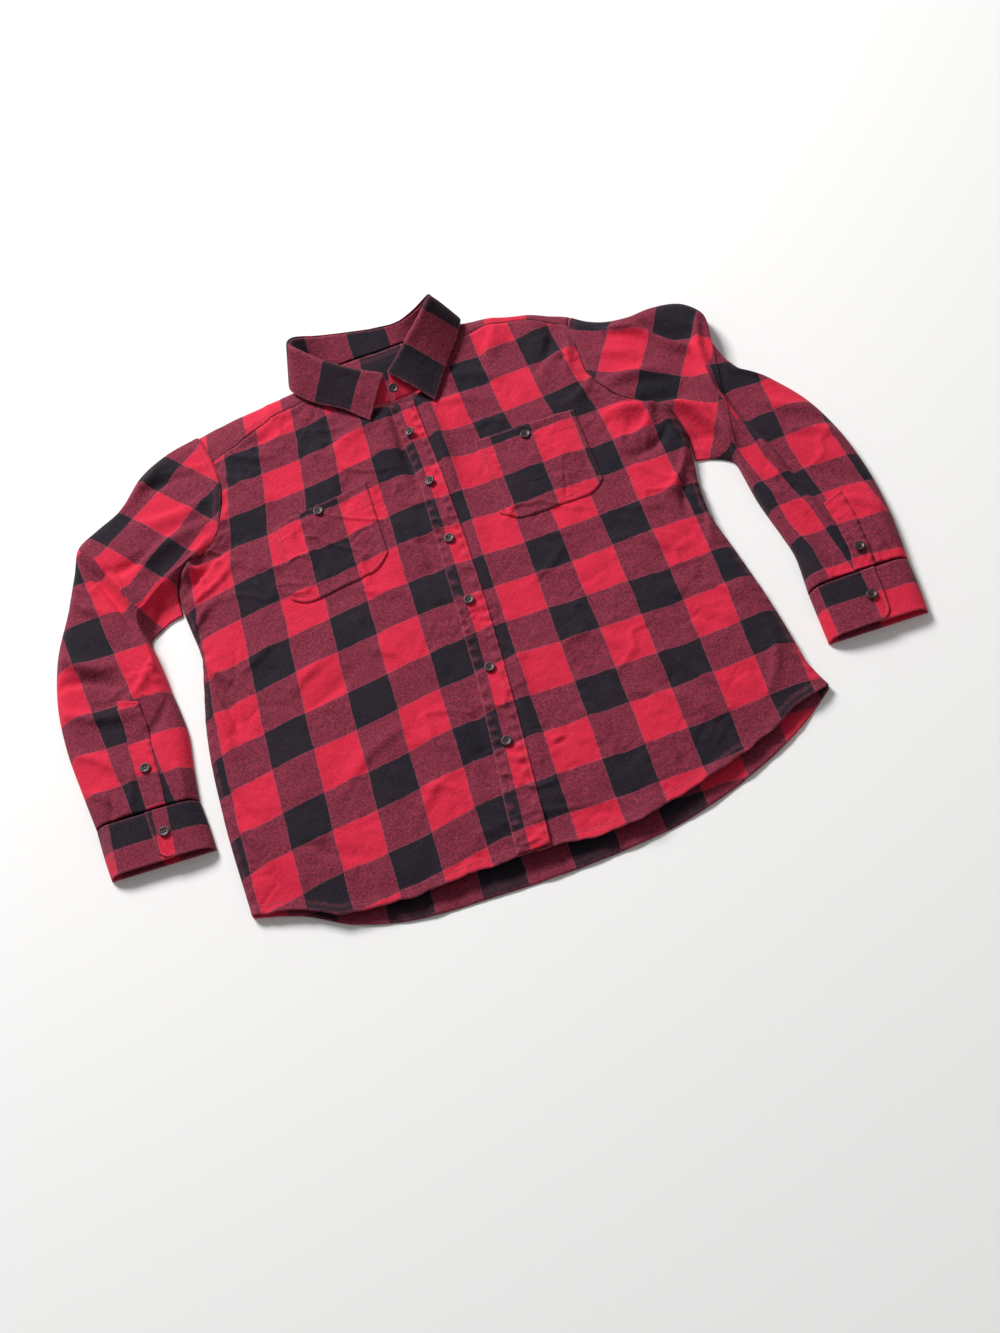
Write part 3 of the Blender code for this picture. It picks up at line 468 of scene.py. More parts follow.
# ---- Yoke: one piece of the same twill over both shoulders and across the back of the neck ----
# It is topstitched over the fronts' and the back's top edges, and rolls over the shoulder folds.
LEAF_LIFT, LIFT_REACH = 3.6, 22.0
NECK_TURN, NECK_TURN_LENGTH = 415.0, 30.0


def leaf_lift(x, y):
    """Rise of the yoke's lower layer over the collar leaf folded beneath it: eased away from the neck seam."""
    neck = np.concatenate([curve(RIGHT_NECK[3:], 40), curve(LEFT_NECK[3:], 40)])
    away = np.hypot(x[..., None] - neck[:, 0], y[..., None] - neck[:, 1]).min(axis=-1)
    return LEAF_LIFT * eased(1 - (away - LIFT_REACH) / (1.5 * LIFT_REACH))


def behind(plan):
    return eased((plan[:, 1] - NECK_TURN) / NECK_TURN_LENGTH)


def neck_line(rows, count):
    """The neck seam in space: on the fronts, down the shoulder rolls, then on the yoke's lower layer."""
    plan = curve(rows, count)
    on_fronts = top_height(plan[:, 0], plan[:, 1] - 10)[0] + CLOTH
    return np.concatenate([plan, (on_fronts + (LEAF_LIFT - on_fronts) * behind(plan))[:, None]], axis=1)


def between_armholes(share, y):
    right, left = np.array(RIGHT_ARMHOLE[6:], float), np.array(LEFT_ARMHOLE[6:], float)
    right_x = np.interp(y, right[:, 1], right[:, 0])
    return right_x + share * (np.interp(y, left[:, 1], left[:, 0]) - right_x)


def yoke_section(start, end):
    """One section: from the seam, rolled over the shoulder fold, and beneath to the back yoke seam."""
    shares = []
    for x, y in (start[:2], end[:2]):
        right_x, left_x = between_armholes(0, y), between_armholes(1, y)
        shares.append((x - right_x) / (left_x - right_x))
    from_share, to_share = shares
    fold_y = max(np.interp(between_armholes(from_share, 400), *np.array(SHOULDERS).T), start[1])
    quarter = np.linspace(0, np.pi / 2, 30)
    upper_y = start[1] + (fold_y - start[1]) * np.sin(quarter)
    lower_y = np.linspace(fold_y, end[1], 60)
    lower_x = between_armholes(from_share + (to_share - from_share) * np.linspace(0, 1, 60), lower_y)
    lower = np.stack([lower_x, lower_y, leaf_lift(lower_x, lower_y)], axis=1)
    upper_z = lower[0, 2] + (start[2] - lower[0, 2]) * np.cos(quarter) ** 0.8
    upper = np.stack([between_armholes(from_share, upper_y), upper_y, upper_z], axis=1)
    return spaced(np.concatenate([upper, lower]), np.linspace(0, 1, 64))


def seam_on_top(rows, count):
    plan = curve(rows, count) + (0, SEAM)
    return np.concatenate([plan, worn_top(plan[:, 0], plan[:, 1])[:, None] + 0.7], axis=1)


front_edge = np.concatenate([seam_on_top(RIGHT_YOKE_SEAM, 52), neck_line(RIGHT_NECK[3:], 44)[1:],
                             neck_line(LEFT_NECK[3:], 44)[::-1][1:-1], seam_on_top(LEFT_YOKE_SEAM, 52)[::-1]])
yoke_grid = np.array([yoke_section(start, end)
                      for start, end in zip(front_edge, curve(BACK_YOKE_SEAM, len(front_edge)))])
down = run_lengths(yoke_grid, 1)
x, y = yoke_grid[..., 0], yoke_grid[..., 1]
upper_part = eased((yoke_grid[..., 2] - 6) / 8)
yoke_grid[..., 2] += upper_part * (0.9 * undulating(x, y, 30, 1.0, 44) + 0.5 * bell(down - 8, 4))
yoke_check = together(x / CHECK + 0.65 - 0.4 * eased(x / 250 + 0.5),
                      1.04 + down / CHECK - eased((100 - abs(x)) / 10))
yoke_wear = 0.5 * bell(down, 2.2) + 0.25 * bell(down - 8, 2.0)
cloth_piece("yoke", yoke_grid, yoke_check, yoke_wear, side=-1)

# ---- Sleeves: one piece each, a flattened tube from the armhole down to the cuff ----
# The same twill, set in with a flat-felled seam. Each is bent at the elbow, with its inner side creased.
SLEEVE_EDGE, SLEEVE_ROLL, ARMPIT_GAP = 2.4, 20.0, 1.6
SLEEVE_POINTS, SLEEVE_SECTIONS = 76, 150
# Sections from armhole to cuff seam, columns: outer fold x, y, inner fold x, y, height
RIGHT_SLEEVE = (
    (-246, 403, -310, 152, 16), (-285, 393, -325, 148, 17), (-326, 369, -340, 139, 18),
    (-362, 326, -352, 130, 19), (-394, 307, -354, 121, 21), (-418, 290, -352, 108, 22),
    (-430, 252, -349, 92, 21), (-445, 203, -346, 74, 20), (-466, 145, -343, 52, 19),
    (-476, 80, -338, 24, 18), (-474, 20, -334, -8, 17), (-464, -45, -336, -54, 17), (-455, -95, -337, -97, 17),
)
LEFT_SLEEVE = (
    (243, 407, 317, 142, 16), (262, 392, 331, 139, 17), (284, 382, 342, 135, 18), (308, 378, 350, 131, 20),
    (342, 380, 356, 127, 22), (377, 370, 360, 123, 25), (396, 347, 362, 116, 25), (393, 297, 363, 106, 23),
    (408, 252, 364, 92, 21), (438, 222, 365, 76, 20), (466, 180, 367, 56, 19), (486, 125, 371, 32, 18),
    (497, 60, 376, 4, 17), (499, -5, 380, -28, 17), (496, -50, 378, -58, 17), (493, -76, 376, -79, 17),
)
# Creases, columns as for the fronts. The first rows of each are the elbow's folded edge and the hollow beside it
RIGHT_SLEEVE_CREASES = (
    (-412, 277, -356, 141, 6, 6, 4.5), (-424, 268, -368, 134, 6, 7, -4.5), (-262, 240, -330, 190, 8, 10, 5.0),
    (-258, 262, -360, 214, -9, 11, 3.6), (-252, 300, -350, 290, 10, 12, 3.2), (-256, 340, -340, 330, -8, 11, -2.6),
    (-300, 372, -382, 308, 6, 10, 2.6), (-330, 250, -400, 232, 8, 10, -3.2), (-336, 172, -352, 132, 5, 9, -5.5),
    (-470, 140, -392, 96, -9, 10, 3.6), (-476, 96, -396, 70, 8, 9, -3.0), (-472, 60, -380, 30, -9, 10, 2.8),
    (-352, 96, -404, 40, 6, 8, 2.6), (-346, 40, -392, -10, 6, 8, -2.2), (-470, 0, -408, -50, 8, 9, 2.2),
    (-462, -50, -420, -92, 6, 7, 1.8), (-404, -40, -412, -92, 3, 6, 2.0), (-430, -60, -434, -96, 2, 5, -1.6),
    (-352, -50, -346, -94, 2, 6, 1.8), (-436, 216, -400, 176, -7, 8, 2.8),
)
LEFT_SLEEVE_CREASES = (
    (274, 360, 334, 316, 7, 8, 6.5), (330, 320, 362, 284, -4, 8, 6.0), (318, 358, 372, 300, -4, 15, -6.5),
    (390, 338, 369, 262, -4, 5, 4.0), (369, 262, 368, 214, 2, 7, 3.5), (360, 255, 384, 150, -3, 8, 4.6),
    (384, 150, 408, 60, 2, 8, 4.2), (408, 60, 430, -50, 2, 7, 3.6), (372, 250, 394, 150, -3, 8, -3.6),
    (396, 146, 424, 40, 2, 8, -3.2), (252, 280, 330, 262, 8, 10, 4.4), (262, 256, 340, 226, -8, 10, -3.4),
    (300, 232, 352, 176, 6, 9, 4.0), (330, 200, 362, 140, 5, 8, 3.2), (250, 330, 300, 300, 7, 9, 2.8),
    (400, 240, 440, 200, 6, 9, 2.8), (410, 190, 470, 150, -7, 10, 3.0), (430, 130, 486, 100, 7, 10, 2.6),
    (436, 80, 492, 30, -6, 10, -2.4), (450, 20, 494, -20, 6, 9, 2.4), (380, 60, 410, 10, 5, 8, 2.4),
    (384, 0, 400, -60, 3, 7, 2.2), (446, -30, 452, -74, 3, 6, 1.8), (474, -36, 478, -74, 2, 6, -1.5),
)


def sleeve_top(row, shares):
    """A section's top layer from outer to inner fold, with a quarter-round roll at each."""
    outer, inner, height = np.array(row[:2]), np.array(row[2:4]), row[4]
    width = np.linalg.norm(inner - outer)
    shares = np.asarray(shares, float)
    plan = outer + shares[:, None] * (inner - outer)
    rounding = rolled(shares * width, SLEEVE_ROLL) * rolled((1 - shares) * width, SLEEVE_ROLL)
    return np.concatenate([plan, (SLEEVE_EDGE + (height - SLEEVE_EDGE) * rounding)[:, None]], axis=1)


def closed_section(top):
    bottom = top[::-1].copy()
    bottom[:, 2] = 0
    return np.concatenate([top, bottom])


def plan_squares(grid):
    """Each point's place in plan, in squares 0.9 % under the body's, with rows counted from y = -9.6 mm."""
    return grid[..., 0] / (0.991 * CHECK), (grid[..., 1] + 9.6) / (0.991 * CHECK)


def sleeve_piece(name, rows, hole_rows, outward, creases, check_of):
    """A sleeve's closed sections. The first follows the armhole, and that shape fades out over the next four.

    Where sections cross at the elbow the cloth is turned over, so its wall would go down: the underside starts a
    wall's thickness higher there.
    """
    shares = (1 - np.cos(np.linspace(0, np.pi, SLEEVE_POINTS))) / 2
    hole = spaced(curve(hole_rows, 300)[::-1], shares)
    tangent = np.gradient(hole, axis=0)
    tangent = unit(tangent)
    away = np.stack([tangent[:, 1], -tangent[:, 0]], axis=1) * -outward
    lengths = np.concatenate([[0], np.cumsum(np.linalg.norm(np.diff(hole, axis=0), axis=1))])
    near_armpit = np.clip(1 - (lengths[-1] - lengths) / 90, 0, 1)[:, None]
    hole = hole + (2 * SEAM + ARMPIT_GAP * near_armpit) * away
    hole = np.concatenate([hole, (top_height(hole[:, 0], hole[:, 1])[0] + CLOTH)[:, None]], axis=1)
    hole[[0, -1], 2] = SLEEVE_EDGE
    first = sleeve_top(rows[0], shares)
    table = curve([(*row, number) for number, row in enumerate(rows)], SLEEVE_SECTIONS)
    tops = []
    for row in table:
        top = sleeve_top(row, shares) + max(0.0, 1 - (row[5] / 5) ** 2) * (hole - first)
        width = np.linalg.norm(row[2:4] - row[:2])
        inside = np.minimum(1, (1 - np.abs(2 * shares - 1)) * width / 24)
        relief = 2.0 * creased(top[:, 0], top[:, 1], creases) + crumpled(top[:, 0], top[:, 1], 44, 0.14, 2.0, 63)
        relief += undulating(top[:, 0], top[:, 1], 40, 1.1, 61) + undulating(top[:, 0], top[:, 1], 13, 0.2, 62)
        fade_in = eased(row[5] / 0.5 + 0.25)
        top[:, 2] = np.maximum(top[:, 2] + relief * inside * fade_in, SLEEVE_EDGE)
        tops.append(top)
    tops = np.array(tops)
    from_hole = run_lengths(tops, 0)
    gathers = 0.5 * bell(from_hole - 13, 5) * np.sin(lengths / 2.6 + 2 * np.sin(lengths / 17))
    tops[..., 2] += 0.7 * eased(1.8 - from_hole / 6) * eased(from_hole / 2) + gathers
    grid = np.array([closed_section(top) for top in tops])
    along, across = np.gradient(tops[..., :2], axis=(0, 1))
    facing = along[..., 0] * across[..., 1] - along[..., 1] * across[..., 0]
    turned = np.pad(facing * np.sign(np.median(facing)) <= 0, 2, mode="edge")
    turned = sum(turned[a : a + len(tops), b : b + tops.shape[1]] for a in range(5) for b in range(5)) > 0
    grid[:, tops.shape[1] :, 2] = CLOTH * turned[:, ::-1]
    check = together(*check_of(*plan_squares(grid)))
    wear = np.concatenate([from_hole, from_hole[:, ::-1]], axis=1)
    edge = np.concatenate([np.abs(2 * shares - 1), np.abs(2 * shares - 1)])
    wear = 0.45 * bell(wear, 2.4) + 0.22 * bell(wear - 9, 2.2) + 0.1 * (edge > 0.985)
    cloth_piece(name, grid, check, wear, side=outward, ring=True)
    return tops, table[:, 5]


def tilted(x, y, centre, along, size):
    """Distances from a square's centre along a direction and square to it, in this size of square."""
    ax, ay = along
    dx, dy = x - centre[0], y - centre[1]
    return (dx * ax + dy * ay) / size[0], (dx * -ay + dy * ax) / size[1]


def right_sleeve_check(x, y):
    """The upper arm's check runs along the arm. Past the elbow's fold the forearm has its own."""
    s, q = tilted(x, y, (-6.05, 5.94), (-0.76, -0.65), (0.955, 1.28))
    upper = (s + 1.5, np.interp(q, (-2.5, -1.5, -0.5, 0.4, 0.85, 1.75, 2.7), (-1, 0, 1, 2, 3, 4, 5)))
    seam = -8.1 + 0.173 * (3.8 - y)
    fore = (1 + x - seam, np.interp(-y, (-6.5, -5.6, -4.7, -3.65, -2.45, -1.15, -0.1, 0.9, 2.0, 3.0),
                                    (-3, -2, -1, 0, 1, 2, 3, 4, 5, 6)))
    fold = np.interp(y, (-4, 3.0, 4.0, 5.2, 5.7), (-4, -7.0, -7.45, -7.95, -8.3))
    return *upper, *fore, ((x < fold) | (y < 2.4)).astype(float)


def left_sleeve_check(x, y):
    s, q = tilted(x, y, (5.70, 6.49), (0.87, -0.49), (1.03, 1.14))
    upper = (s + 1.5, np.interp(-q, (-2.5, -1.5, -0.5, 0.5, 1.2, 2.4, 3.4), (-1, 0, 1, 2, 3, 4, 5)))
    level = (-1.5, -0.5, 0.5, 1.4, 2.3, 4.5)
    lines = [np.interp(y, level, column) for column in ((8.0, 7.9, 7.65, 7.6, 7.35, 6.9),
                                                        (8.55, 8.4, 8.25, 8.0, 7.75, 7.45),
                                                        (9.1, 9.0, 8.7, 8.55, 8.4, 8.45))]
    u = 1 + np.minimum(x - lines[0], 0) + np.maximum(x - lines[2], 0)
    for near, far in zip(lines, lines[1:]):
        u = u + np.clip((x - near) / (far - near), 0, 1)
    v = np.interp(-y, (-6.2, -5.25, -4.35, -3.45, -2.65, -1.7, -0.85, 0.05, 1.1, 2.1), (-1, 0, 1, 2, 3, 4, 5, 6, 7, 8))
    fold = np.interp(y, (-3, 0, 1.0, 2.5, 4.3, 5.2, 5.7, 6.9), (8.6, 8.35, 8.2, 7.7, 7.35, 7.3, 7.7, 8.0))
    return *upper, u, v, ((x > fold) | (y < 2.9)).astype(float)


right_sleeve, right_numbers = sleeve_piece("sleeve_right", RIGHT_SLEEVE, RIGHT_ARMHOLE, -1, RIGHT_SLEEVE_CREASES,
                                           right_sleeve_check)
left_sleeve, left_numbers = sleeve_piece("sleeve_left", LEFT_SLEEVE, LEFT_ARMHOLE, 1, LEFT_SLEEVE_CREASES,
                                         left_sleeve_check)

# ---- Sleeve plackets: narrow doubled strips over the slits above the cuffs ----
# The same twill, folded under at both edges and stitched down, so that it puckers across.
DOUBLED = 1.8
STRIP_ROWS, STRIP_COLUMNS = 70, 22


def gauntlet(name, surface, numbers, start, end, first, outward, u_start, rows_v):
    wanted = np.linspace(first, numbers[-1], STRIP_ROWS)
    low = (np.searchsorted(numbers, wanted) - 1).clip(0, len(surface) - 2)
    part = ((wanted - numbers[low]) / (numbers[low + 1] - numbers[low]))[:, None, None]
    lines = surface[low] * (1 - part) + surface[low + 1] * part
    strip = np.array([spaced(line, np.linspace(start, end, STRIP_COLUMNS)) for line in lines])
    run = run_lengths(strip, 0)
    share = np.linspace(0, 1, STRIP_COLUMNS)
    strip[..., 2] = (0.35 * strip[..., 2].max(axis=1, keepdims=True) + 0.65 * strip[..., 2]) + SEAM + DOUBLED
    strip[..., 2] += 0.55 * np.sin(run / 2.1 + 1.5 * np.sin(run / 9)) * (0.5 + 0.5 * np.cos(2 * np.pi * share))
    strip[..., 2] -= 0.9 * (2 * share - 1) ** 8
    check = together(np.interp(share, (0, 1), u_start), np.interp(-plan_squares(strip)[1], *rows_v))
    wear = 0.4 * bell(np.minimum(share, 1 - share), 0.06)
    return cloth_piece(name, strip, check, wear, side=outward, thickness=DOUBLED)


right_strip = gauntlet("sleeve_placket_right", right_sleeve, right_numbers, 0.52, 0.69, 9.0, -1, (1.35, 1.95),
                       ((-1.6, -0.95, 0.0, 0.85, 1.7), (-1, 0, 1, 2, 3)))
left_strip = gauntlet("sleeve_placket_left", left_sleeve, left_numbers, 0.36, 0.53, 12.2, 1, (1.3, 1.9),
                      ((-1.8, -0.85, 0.05, 1.1, 2.1), (0, 1, 2, 3, 4)))

# ---- Cuffs: doubled bands, lapped on the upper side and buttoned ----
# The same twill over an interlining. The lapped end is cut round at its lower corner.
RIGHT_CUFF = ((-455, -98, -336, -100, 17), (-452, -130, -332, -130, 16), (-448, -160, -329, -161, 15))
LEFT_CUFF = ((493, -79, 376, -82, 17), (491, -114, 375, -114, 16), (488, -146, 374, -147, 15))
CUFF_DEPTH, CUFF_CORNER, CUFF_ROWS = 64, 15, 44


def cuff(name, rows, lap, outward, columns, levels):
    """An open band: from its lapped end round the inner fold, beneath, and back under the lap."""
    grid, runs = [], []
    table = curve(rows, CUFF_ROWS)
    for number, row in enumerate(table):
        to_mouth = (1 - number / (CUFF_ROWS - 1)) * CUFF_DEPTH
        width = np.linalg.norm(row[2:4] - row[:2])
        corner = CUFF_CORNER - np.sqrt(max(0, CUFF_CORNER**2 - max(0, CUFF_CORNER - to_mouth) ** 2))
        start = lap + corner / width
        over = start + (1 - start) * np.sin(np.linspace(0, np.pi / 2, 64))
        raised = sleeve_top(row, over)
        raised[:, 2] += (DOUBLED + SEAM) * np.clip(1.15 - (over - start) / (1 - start), 0, 1)
        raised[:, 2] += undulating(raised[:, 0], raised[:, 1], 30, 0.7, 71) * (1 - over) * 2
        beneath = sleeve_top(row, np.linspace(0.0, lap + 0.13, 44))
        grid.append(np.concatenate([raised, closed_section(sleeve_top(row, np.linspace(0, 1, 36)))[36:], beneath]))
        runs.append(to_mouth)
    grid = np.array(grid)
    to_mouth = np.array(runs)[:, None]
    grid[..., 2] += 0.45 * bell(to_mouth - 2, 4) * (grid[..., 2] > 3)
    x, y = plan_squares(grid)
    check = together(np.interp(x, *columns), np.interp(y, *levels))
    end = bell(np.arange(grid.shape[1]), 1.6)[None, :]
    wear = 0.65 * bell(to_mouth, 1.8) + 0.3 * bell(CUFF_DEPTH - to_mouth, 2) + 0.5 * end
    return cloth_piece(name, grid, check, wear, side=outward, thickness=DOUBLED)


right_cuff = cuff("cuff_right", RIGHT_CUFF, 0.50, -1, ((-8.7, -7.68, -7.38, -6.4), (0, 1, 2, 3)),
                  ((-3.4, -2.45, -1.5), (-1, 0, 1)))
left_cuff = cuff("cuff_left", LEFT_CUFF, 0.36, 1, ((6.6, 7.65, 8.65, 9.65), (1, 2, 3, 4)),
                 ((-3.0, -2.05, -1.1), (-1, 0, 1)))

# ---- Placket: the doubled buttonhole band down the left front, lapped over the right ----
# The same twill over an interlining, stitched along both edges. Washing has puckered it and twisted its top.
PLACKET_WIDTH, PLACKET_TOP, PLACKET_FOOT = 31, 346, -282
band = np.array(PLACKET, float)[::-1]
band_y = np.linspace(PLACKET_TOP, PLACKET_FOOT, 430)[:, None]
share = np.linspace(0, 1, 26)[None, :]
x = np.interp(band_y, band[:, 0], band[:, 1]) * (1 - share) + np.interp(band_y, band[:, 0], band[:, 2]) * share
y = np.broadcast_to(band_y, x.shape)
to_edge = np.minimum(share, 1 - share) * PLACKET_WIDTH
pucker = np.sin(y / 2.6 + 2.2 * np.sin(y / 23) + 1.5 * share) * bell(to_edge - 5, 4)
z = worn_top(x, y) + SEAM + DOUBLED + 1.1 * pucker + 0.4 * undulating(x, y, 18, 1.0, 81)
placket_grid = together(x, y, z - 0.8 * bell(to_edge, 1.2))
placket_check = together(np.interp(share, (-0.1, 0.4, 1.1), (0, 1, 2)), stripe_place(x, y, LEFT_STRIPES))
# Paler along both edges from wear, and on the raised pucker crests a painted highlight
placket_wear_and_crest_highlight = 0.6 * bell(to_edge, 1.3) + 0.35 * pucker.clip(0, 1)
cloth_piece("placket", placket_grid, placket_check, placket_wear_and_crest_highlight, side=-1, thickness=DOUBLED)

# ---- Patch pockets: one layer each, stitched to the fronts round three sides ----
# The same twill with the check matched. The top hems are turned in, and the bottom corners cut round.
RIGHT_POCKET = ((-184, 223), (-60, 247), (-58, 122), (-182, 100))
LEFT_POCKET = ((79, 257), (205, 257), (208, 130), (80, 128))
POCKET_WIDTH, POCKET_DEPTH, POCKET_POINTS = 125, 126, 84


def pocket(name, corners, stripes, column_start):
    top_left, top_right, bottom_right, bottom_left = np.array(corners, float)
    u = np.linspace(0, 1, POCKET_POINTS)[None, :, None]
    v = np.linspace(0, 1, POCKET_POINTS)[:, None, None]
    plan = (1 - v) * ((1 - u) * bottom_left + u * bottom_right) + v * ((1 - u) * top_left + u * top_right)
    plan[..., 1] += 16 * np.clip(np.abs(u[..., 0] * 2 - 1) - 0.55, 0, 1) ** 2 / 0.2 * (1 - v[..., 0]) ** 2
    x, y = plan[..., 0], plan[..., 1]
    across = np.minimum(u, 1 - u)[..., 0] * POCKET_WIDTH
    from_top, from_foot = (1 - v[..., 0]) * POCKET_DEPTH, v[..., 0] * POCKET_DEPTH
    to_edge = np.minimum(across, from_foot)
    z = worn_top(x, y) + SEAM + CLOTH + 0.45 * bell(to_edge - 4, 3) - 0.5 * bell(to_edge, 1)
    z = z + 0.3 * np.sin((x + y) / 2.7 + 2 * np.sin(y / 13)) * bell(to_edge - 9, 4)
    slack = eased(to_edge / 26)
    z = z + slack * (0.9 + 1.1 * undulating(x, y, 30, 1.0, 91)) + 1.1 * slack * bell(from_top, 6)
    wear = (0.5 * bell(from_top, 1.8) + 0.35 * bell(to_edge, 1.6)
            + 0.2 * bell(to_edge - 8, 2))
    check = together(x / CHECK - column_start, stripe_place(x, y, stripes))
    return cloth_piece(name, together(x, y, z), check, wear)


right_pocket = pocket("pocket_right", RIGHT_POCKET, RIGHT_STRIPES, -0.92)
left_pocket = pocket("pocket_left", LEFT_POCKET, LEFT_STRIPES, 1.94)

# ---- Collar: a stand round the neck, and the leaf turned down over it to two points ----
# Both are doubled twill over an interlining. The stand is buttoned at the front under the leaf's points.
STAND_SET_IN, LEAF_GAP = 4.4, 2.8
# Fold line from the right front round the back to the left front, columns: x, y, z
FOLD_LINE = ((-1, 386, 35), (-43, 409, 42), (-80, 439, 49), (-102, 467, 51), (-97, 489, 36), (-70, 497, 18),
             (-38, 495, 11), (0, 488, 9), (36, 480, 15), (61, 477, 30), (78, 474, 48), (82, 466, 60), (64, 441, 59),
             (45, 422, 53), (28, 405, 45), (5, 386, 36))
# Free edge of the leaf at the same places
FREE_EDGE = ((-33, 334, 20), (-60, 361, 22), (-92, 386, 22), (-117, 420, 20), (-113, 447, 9), (-84, 452, 2.4),
             (-42, 441, 1.2), (0, 439, 1.0), (40, 441, 1.2), (78, 452, 2.4), (108, 461, 9), (112, 446, 21),
             (98, 414, 23), (82, 389, 23), (68, 364, 23), (50, 333, 22))
HALF, STAND_ROWS, LEAF_POINTS = 105, 22, 46


def joined_halves(rows):
    return np.concatenate([curve(rows[:8], HALF), curve(rows[7:], HALF)[1:]])


seam_line = np.concatenate([neck_line(RIGHT_NECK, HALF), neck_line(LEFT_NECK, HALF)[::-1][1:]])
stand_top = joined_halves(FOLD_LINE) - (0, 0, 2.4)
back_part = behind(seam_line)[:, None]
inward = np.array([-4, 405]) - seam_line[:, :2]
inward = unit(inward)
inward = inward * (1 - back_part) + np.array([0, 1.0]) * back_part
inward = unit(inward)
stand_low = seam_line + (0, 0, 0.6)
stand_low[:, 2:] -= 1.4 * back_part
stand_low[:, :2] += STAND_SET_IN * inward
levels = np.linspace(0, 1, STAND_ROWS)[:, None, None]
stand_grid = stand_low[None] * (1 - levels) + stand_top[None] * levels
round_run = run_lengths(stand_grid, 1)
to_front = np.minimum(round_run, round_run[:, -1:] - round_run)
tab = 1 - eased((to_front - 38) / 4)
stand_u = stand_grid[..., 0] / CHECK + 0.62
stand_check = together(stand_u + (1.5 - stand_u) * tab, 0.5 + tab)
stand_wear = 0.5 * bell(1 - levels[..., 0], 0.05)
cloth_piece("collar_stand", stand_grid, stand_check, stand_wear, side=-1, thickness=DOUBLED, wall=0)

free_edge = joined_halves(FREE_EDGE)
rise = stand_top - stand_low
rise = unit(rise)
out = np.cross(rise, np.gradient(stand_top, axis=0))
out = unit(out)
turn = [stand_top + 1.9 * rise, stand_top + 1.8 * rise + 1.7 * out, stand_top + LEAF_GAP * out]
drop = 1 + 1.6 * np.clip((14 - free_edge[:, 2]) / 8, 0, 1)
belly = 2.5 * np.clip((free_edge[:, 2] - 8) / 8, 0, 1)
hang = []
for share in (0.25, 0.5, 0.75, 1.0):
    line = turn[-1] + (free_edge - turn[-1]) * share
    line[:, 2] = (free_edge[:, 2] + (turn[-1][:, 2] - free_edge[:, 2]) * (1 - share) ** drop
                  + belly * 4 * share * (1 - share))
    hang.append(line)
columns = np.array(turn + hang).transpose(1, 0, 2)
leaf_grid = np.array([curve(column, LEAF_POINTS) for column in columns]).transpose(1, 0, 2)
down = run_lengths(leaf_grid, 0)
to_free = down[-1:] - down
round_run = run_lengths(leaf_grid, 1)
middle_run = round_run[20:21]
on_top = eased((leaf_grid[..., 2] - 12) / 8)
leaf_grid[..., 2] += on_top * (undulating(leaf_grid[..., 0], leaf_grid[..., 1], 34, 1.0, 95)
                               + 0.5 * bell(to_free - 6, 3) + 0.6 * eased(2 - to_free / 3))
from_right, from_left = middle_run, middle_run[:, -1:] - middle_run
leaf_u = np.where(from_right < from_left, 1.45 + from_right / CHECK, 0.1 + from_left / CHECK)
leaf_check = together(leaf_u, 0.12 + 0.76 * down / down[-1:])
leaf_ends = np.minimum(round_run, round_run[:, -1:] - round_run)
leaf_wear = (0.75 * bell(to_free, 1.8) + 0.35 * bell(down - 2, 2.4)
             + 0.7 * bell(leaf_ends, 1.8))
cloth_piece("collar_leaf", leaf_grid, leaf_check, leaf_wear, side=-1, thickness=DOUBLED, wall=0)

# ---- Topstitching: rows of lockstitch in polyester thread, 3.2 mm a stitch ----
# Every edge and felled seam has one or two rows. Each stitch is a small spindle, half sunk in the cloth.


def inset(grid, axis, distance):
    """The line on a grid's surface this far in from its first row (axis 0) or column (axis 1)."""
    across = grid if axis == 0 else grid.transpose(1, 0, 2)
    length = run_lengths(across, 0)
    return np.array([[np.interp(distance, length[:, j], across[:, j, k]) for k in range(3)]
                     for j in range(across.shape[1])])


STITCH, THREAD_RADIUS = 3.2, 0.3


def insets(grid, axis, *distances):
    return [inset(grid, axis, distance) for distance in distances]


def stitches(name, lines, pitch=STITCH):
    """Spindles of four sides end to end along the lines: pointed at both ends and 0.6 mm thick between."""
    starts, ends = [], []
    for line in lines:
        count = max(1, round(np.linalg.norm(np.diff(line, axis=0), axis=1).sum() / pitch))
        points = spaced(line, np.linspace(0, 1, count + 1))
        starts.append(points[:-1] * 0.9 + points[1:] * 0.1)
        ends.append(points[:-1] * 0.1 + points[1:] * 0.9)
    start, end = np.concatenate(starts), np.concatenate(ends)
    along = end - start
    along = unit(along)
    sideways = np.cross(along, (0, 0, 1.0))
    sideways = unit(sideways)
    over = np.cross(sideways, along)
    body = [start - 0.25 * over]
    for share in (0.25, 0.75):
        centre = start + share * (end - start) + 0.12 * over
        body += [centre + THREAD_RADIUS * (np.cos(turn) * sideways + np.sin(turn) * over)
                 for turn in np.arange(4) * np.pi / 2]
    body.append(end - 0.25 * over)
    points = np.stack(body, axis=1)
    ring = np.arange(4)
    following = (ring + 1) % 4
    one = np.concatenate([np.stack([0 * ring, 1 + following, 1 + ring], axis=1),
                          np.stack([1 + ring, 1 + following, 5 + following], axis=1),
                          np.stack([1 + ring, 5 + following, 5 + ring], axis=1),
                          np.stack([9 + 0 * ring, 5 + ring, 5 + following], axis=1)])
    faces = (np.arange(len(points))[:, None, None] * 10 + one).reshape(-1, 3)
    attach(new_piece(name, points, faces, THREAD), "root")


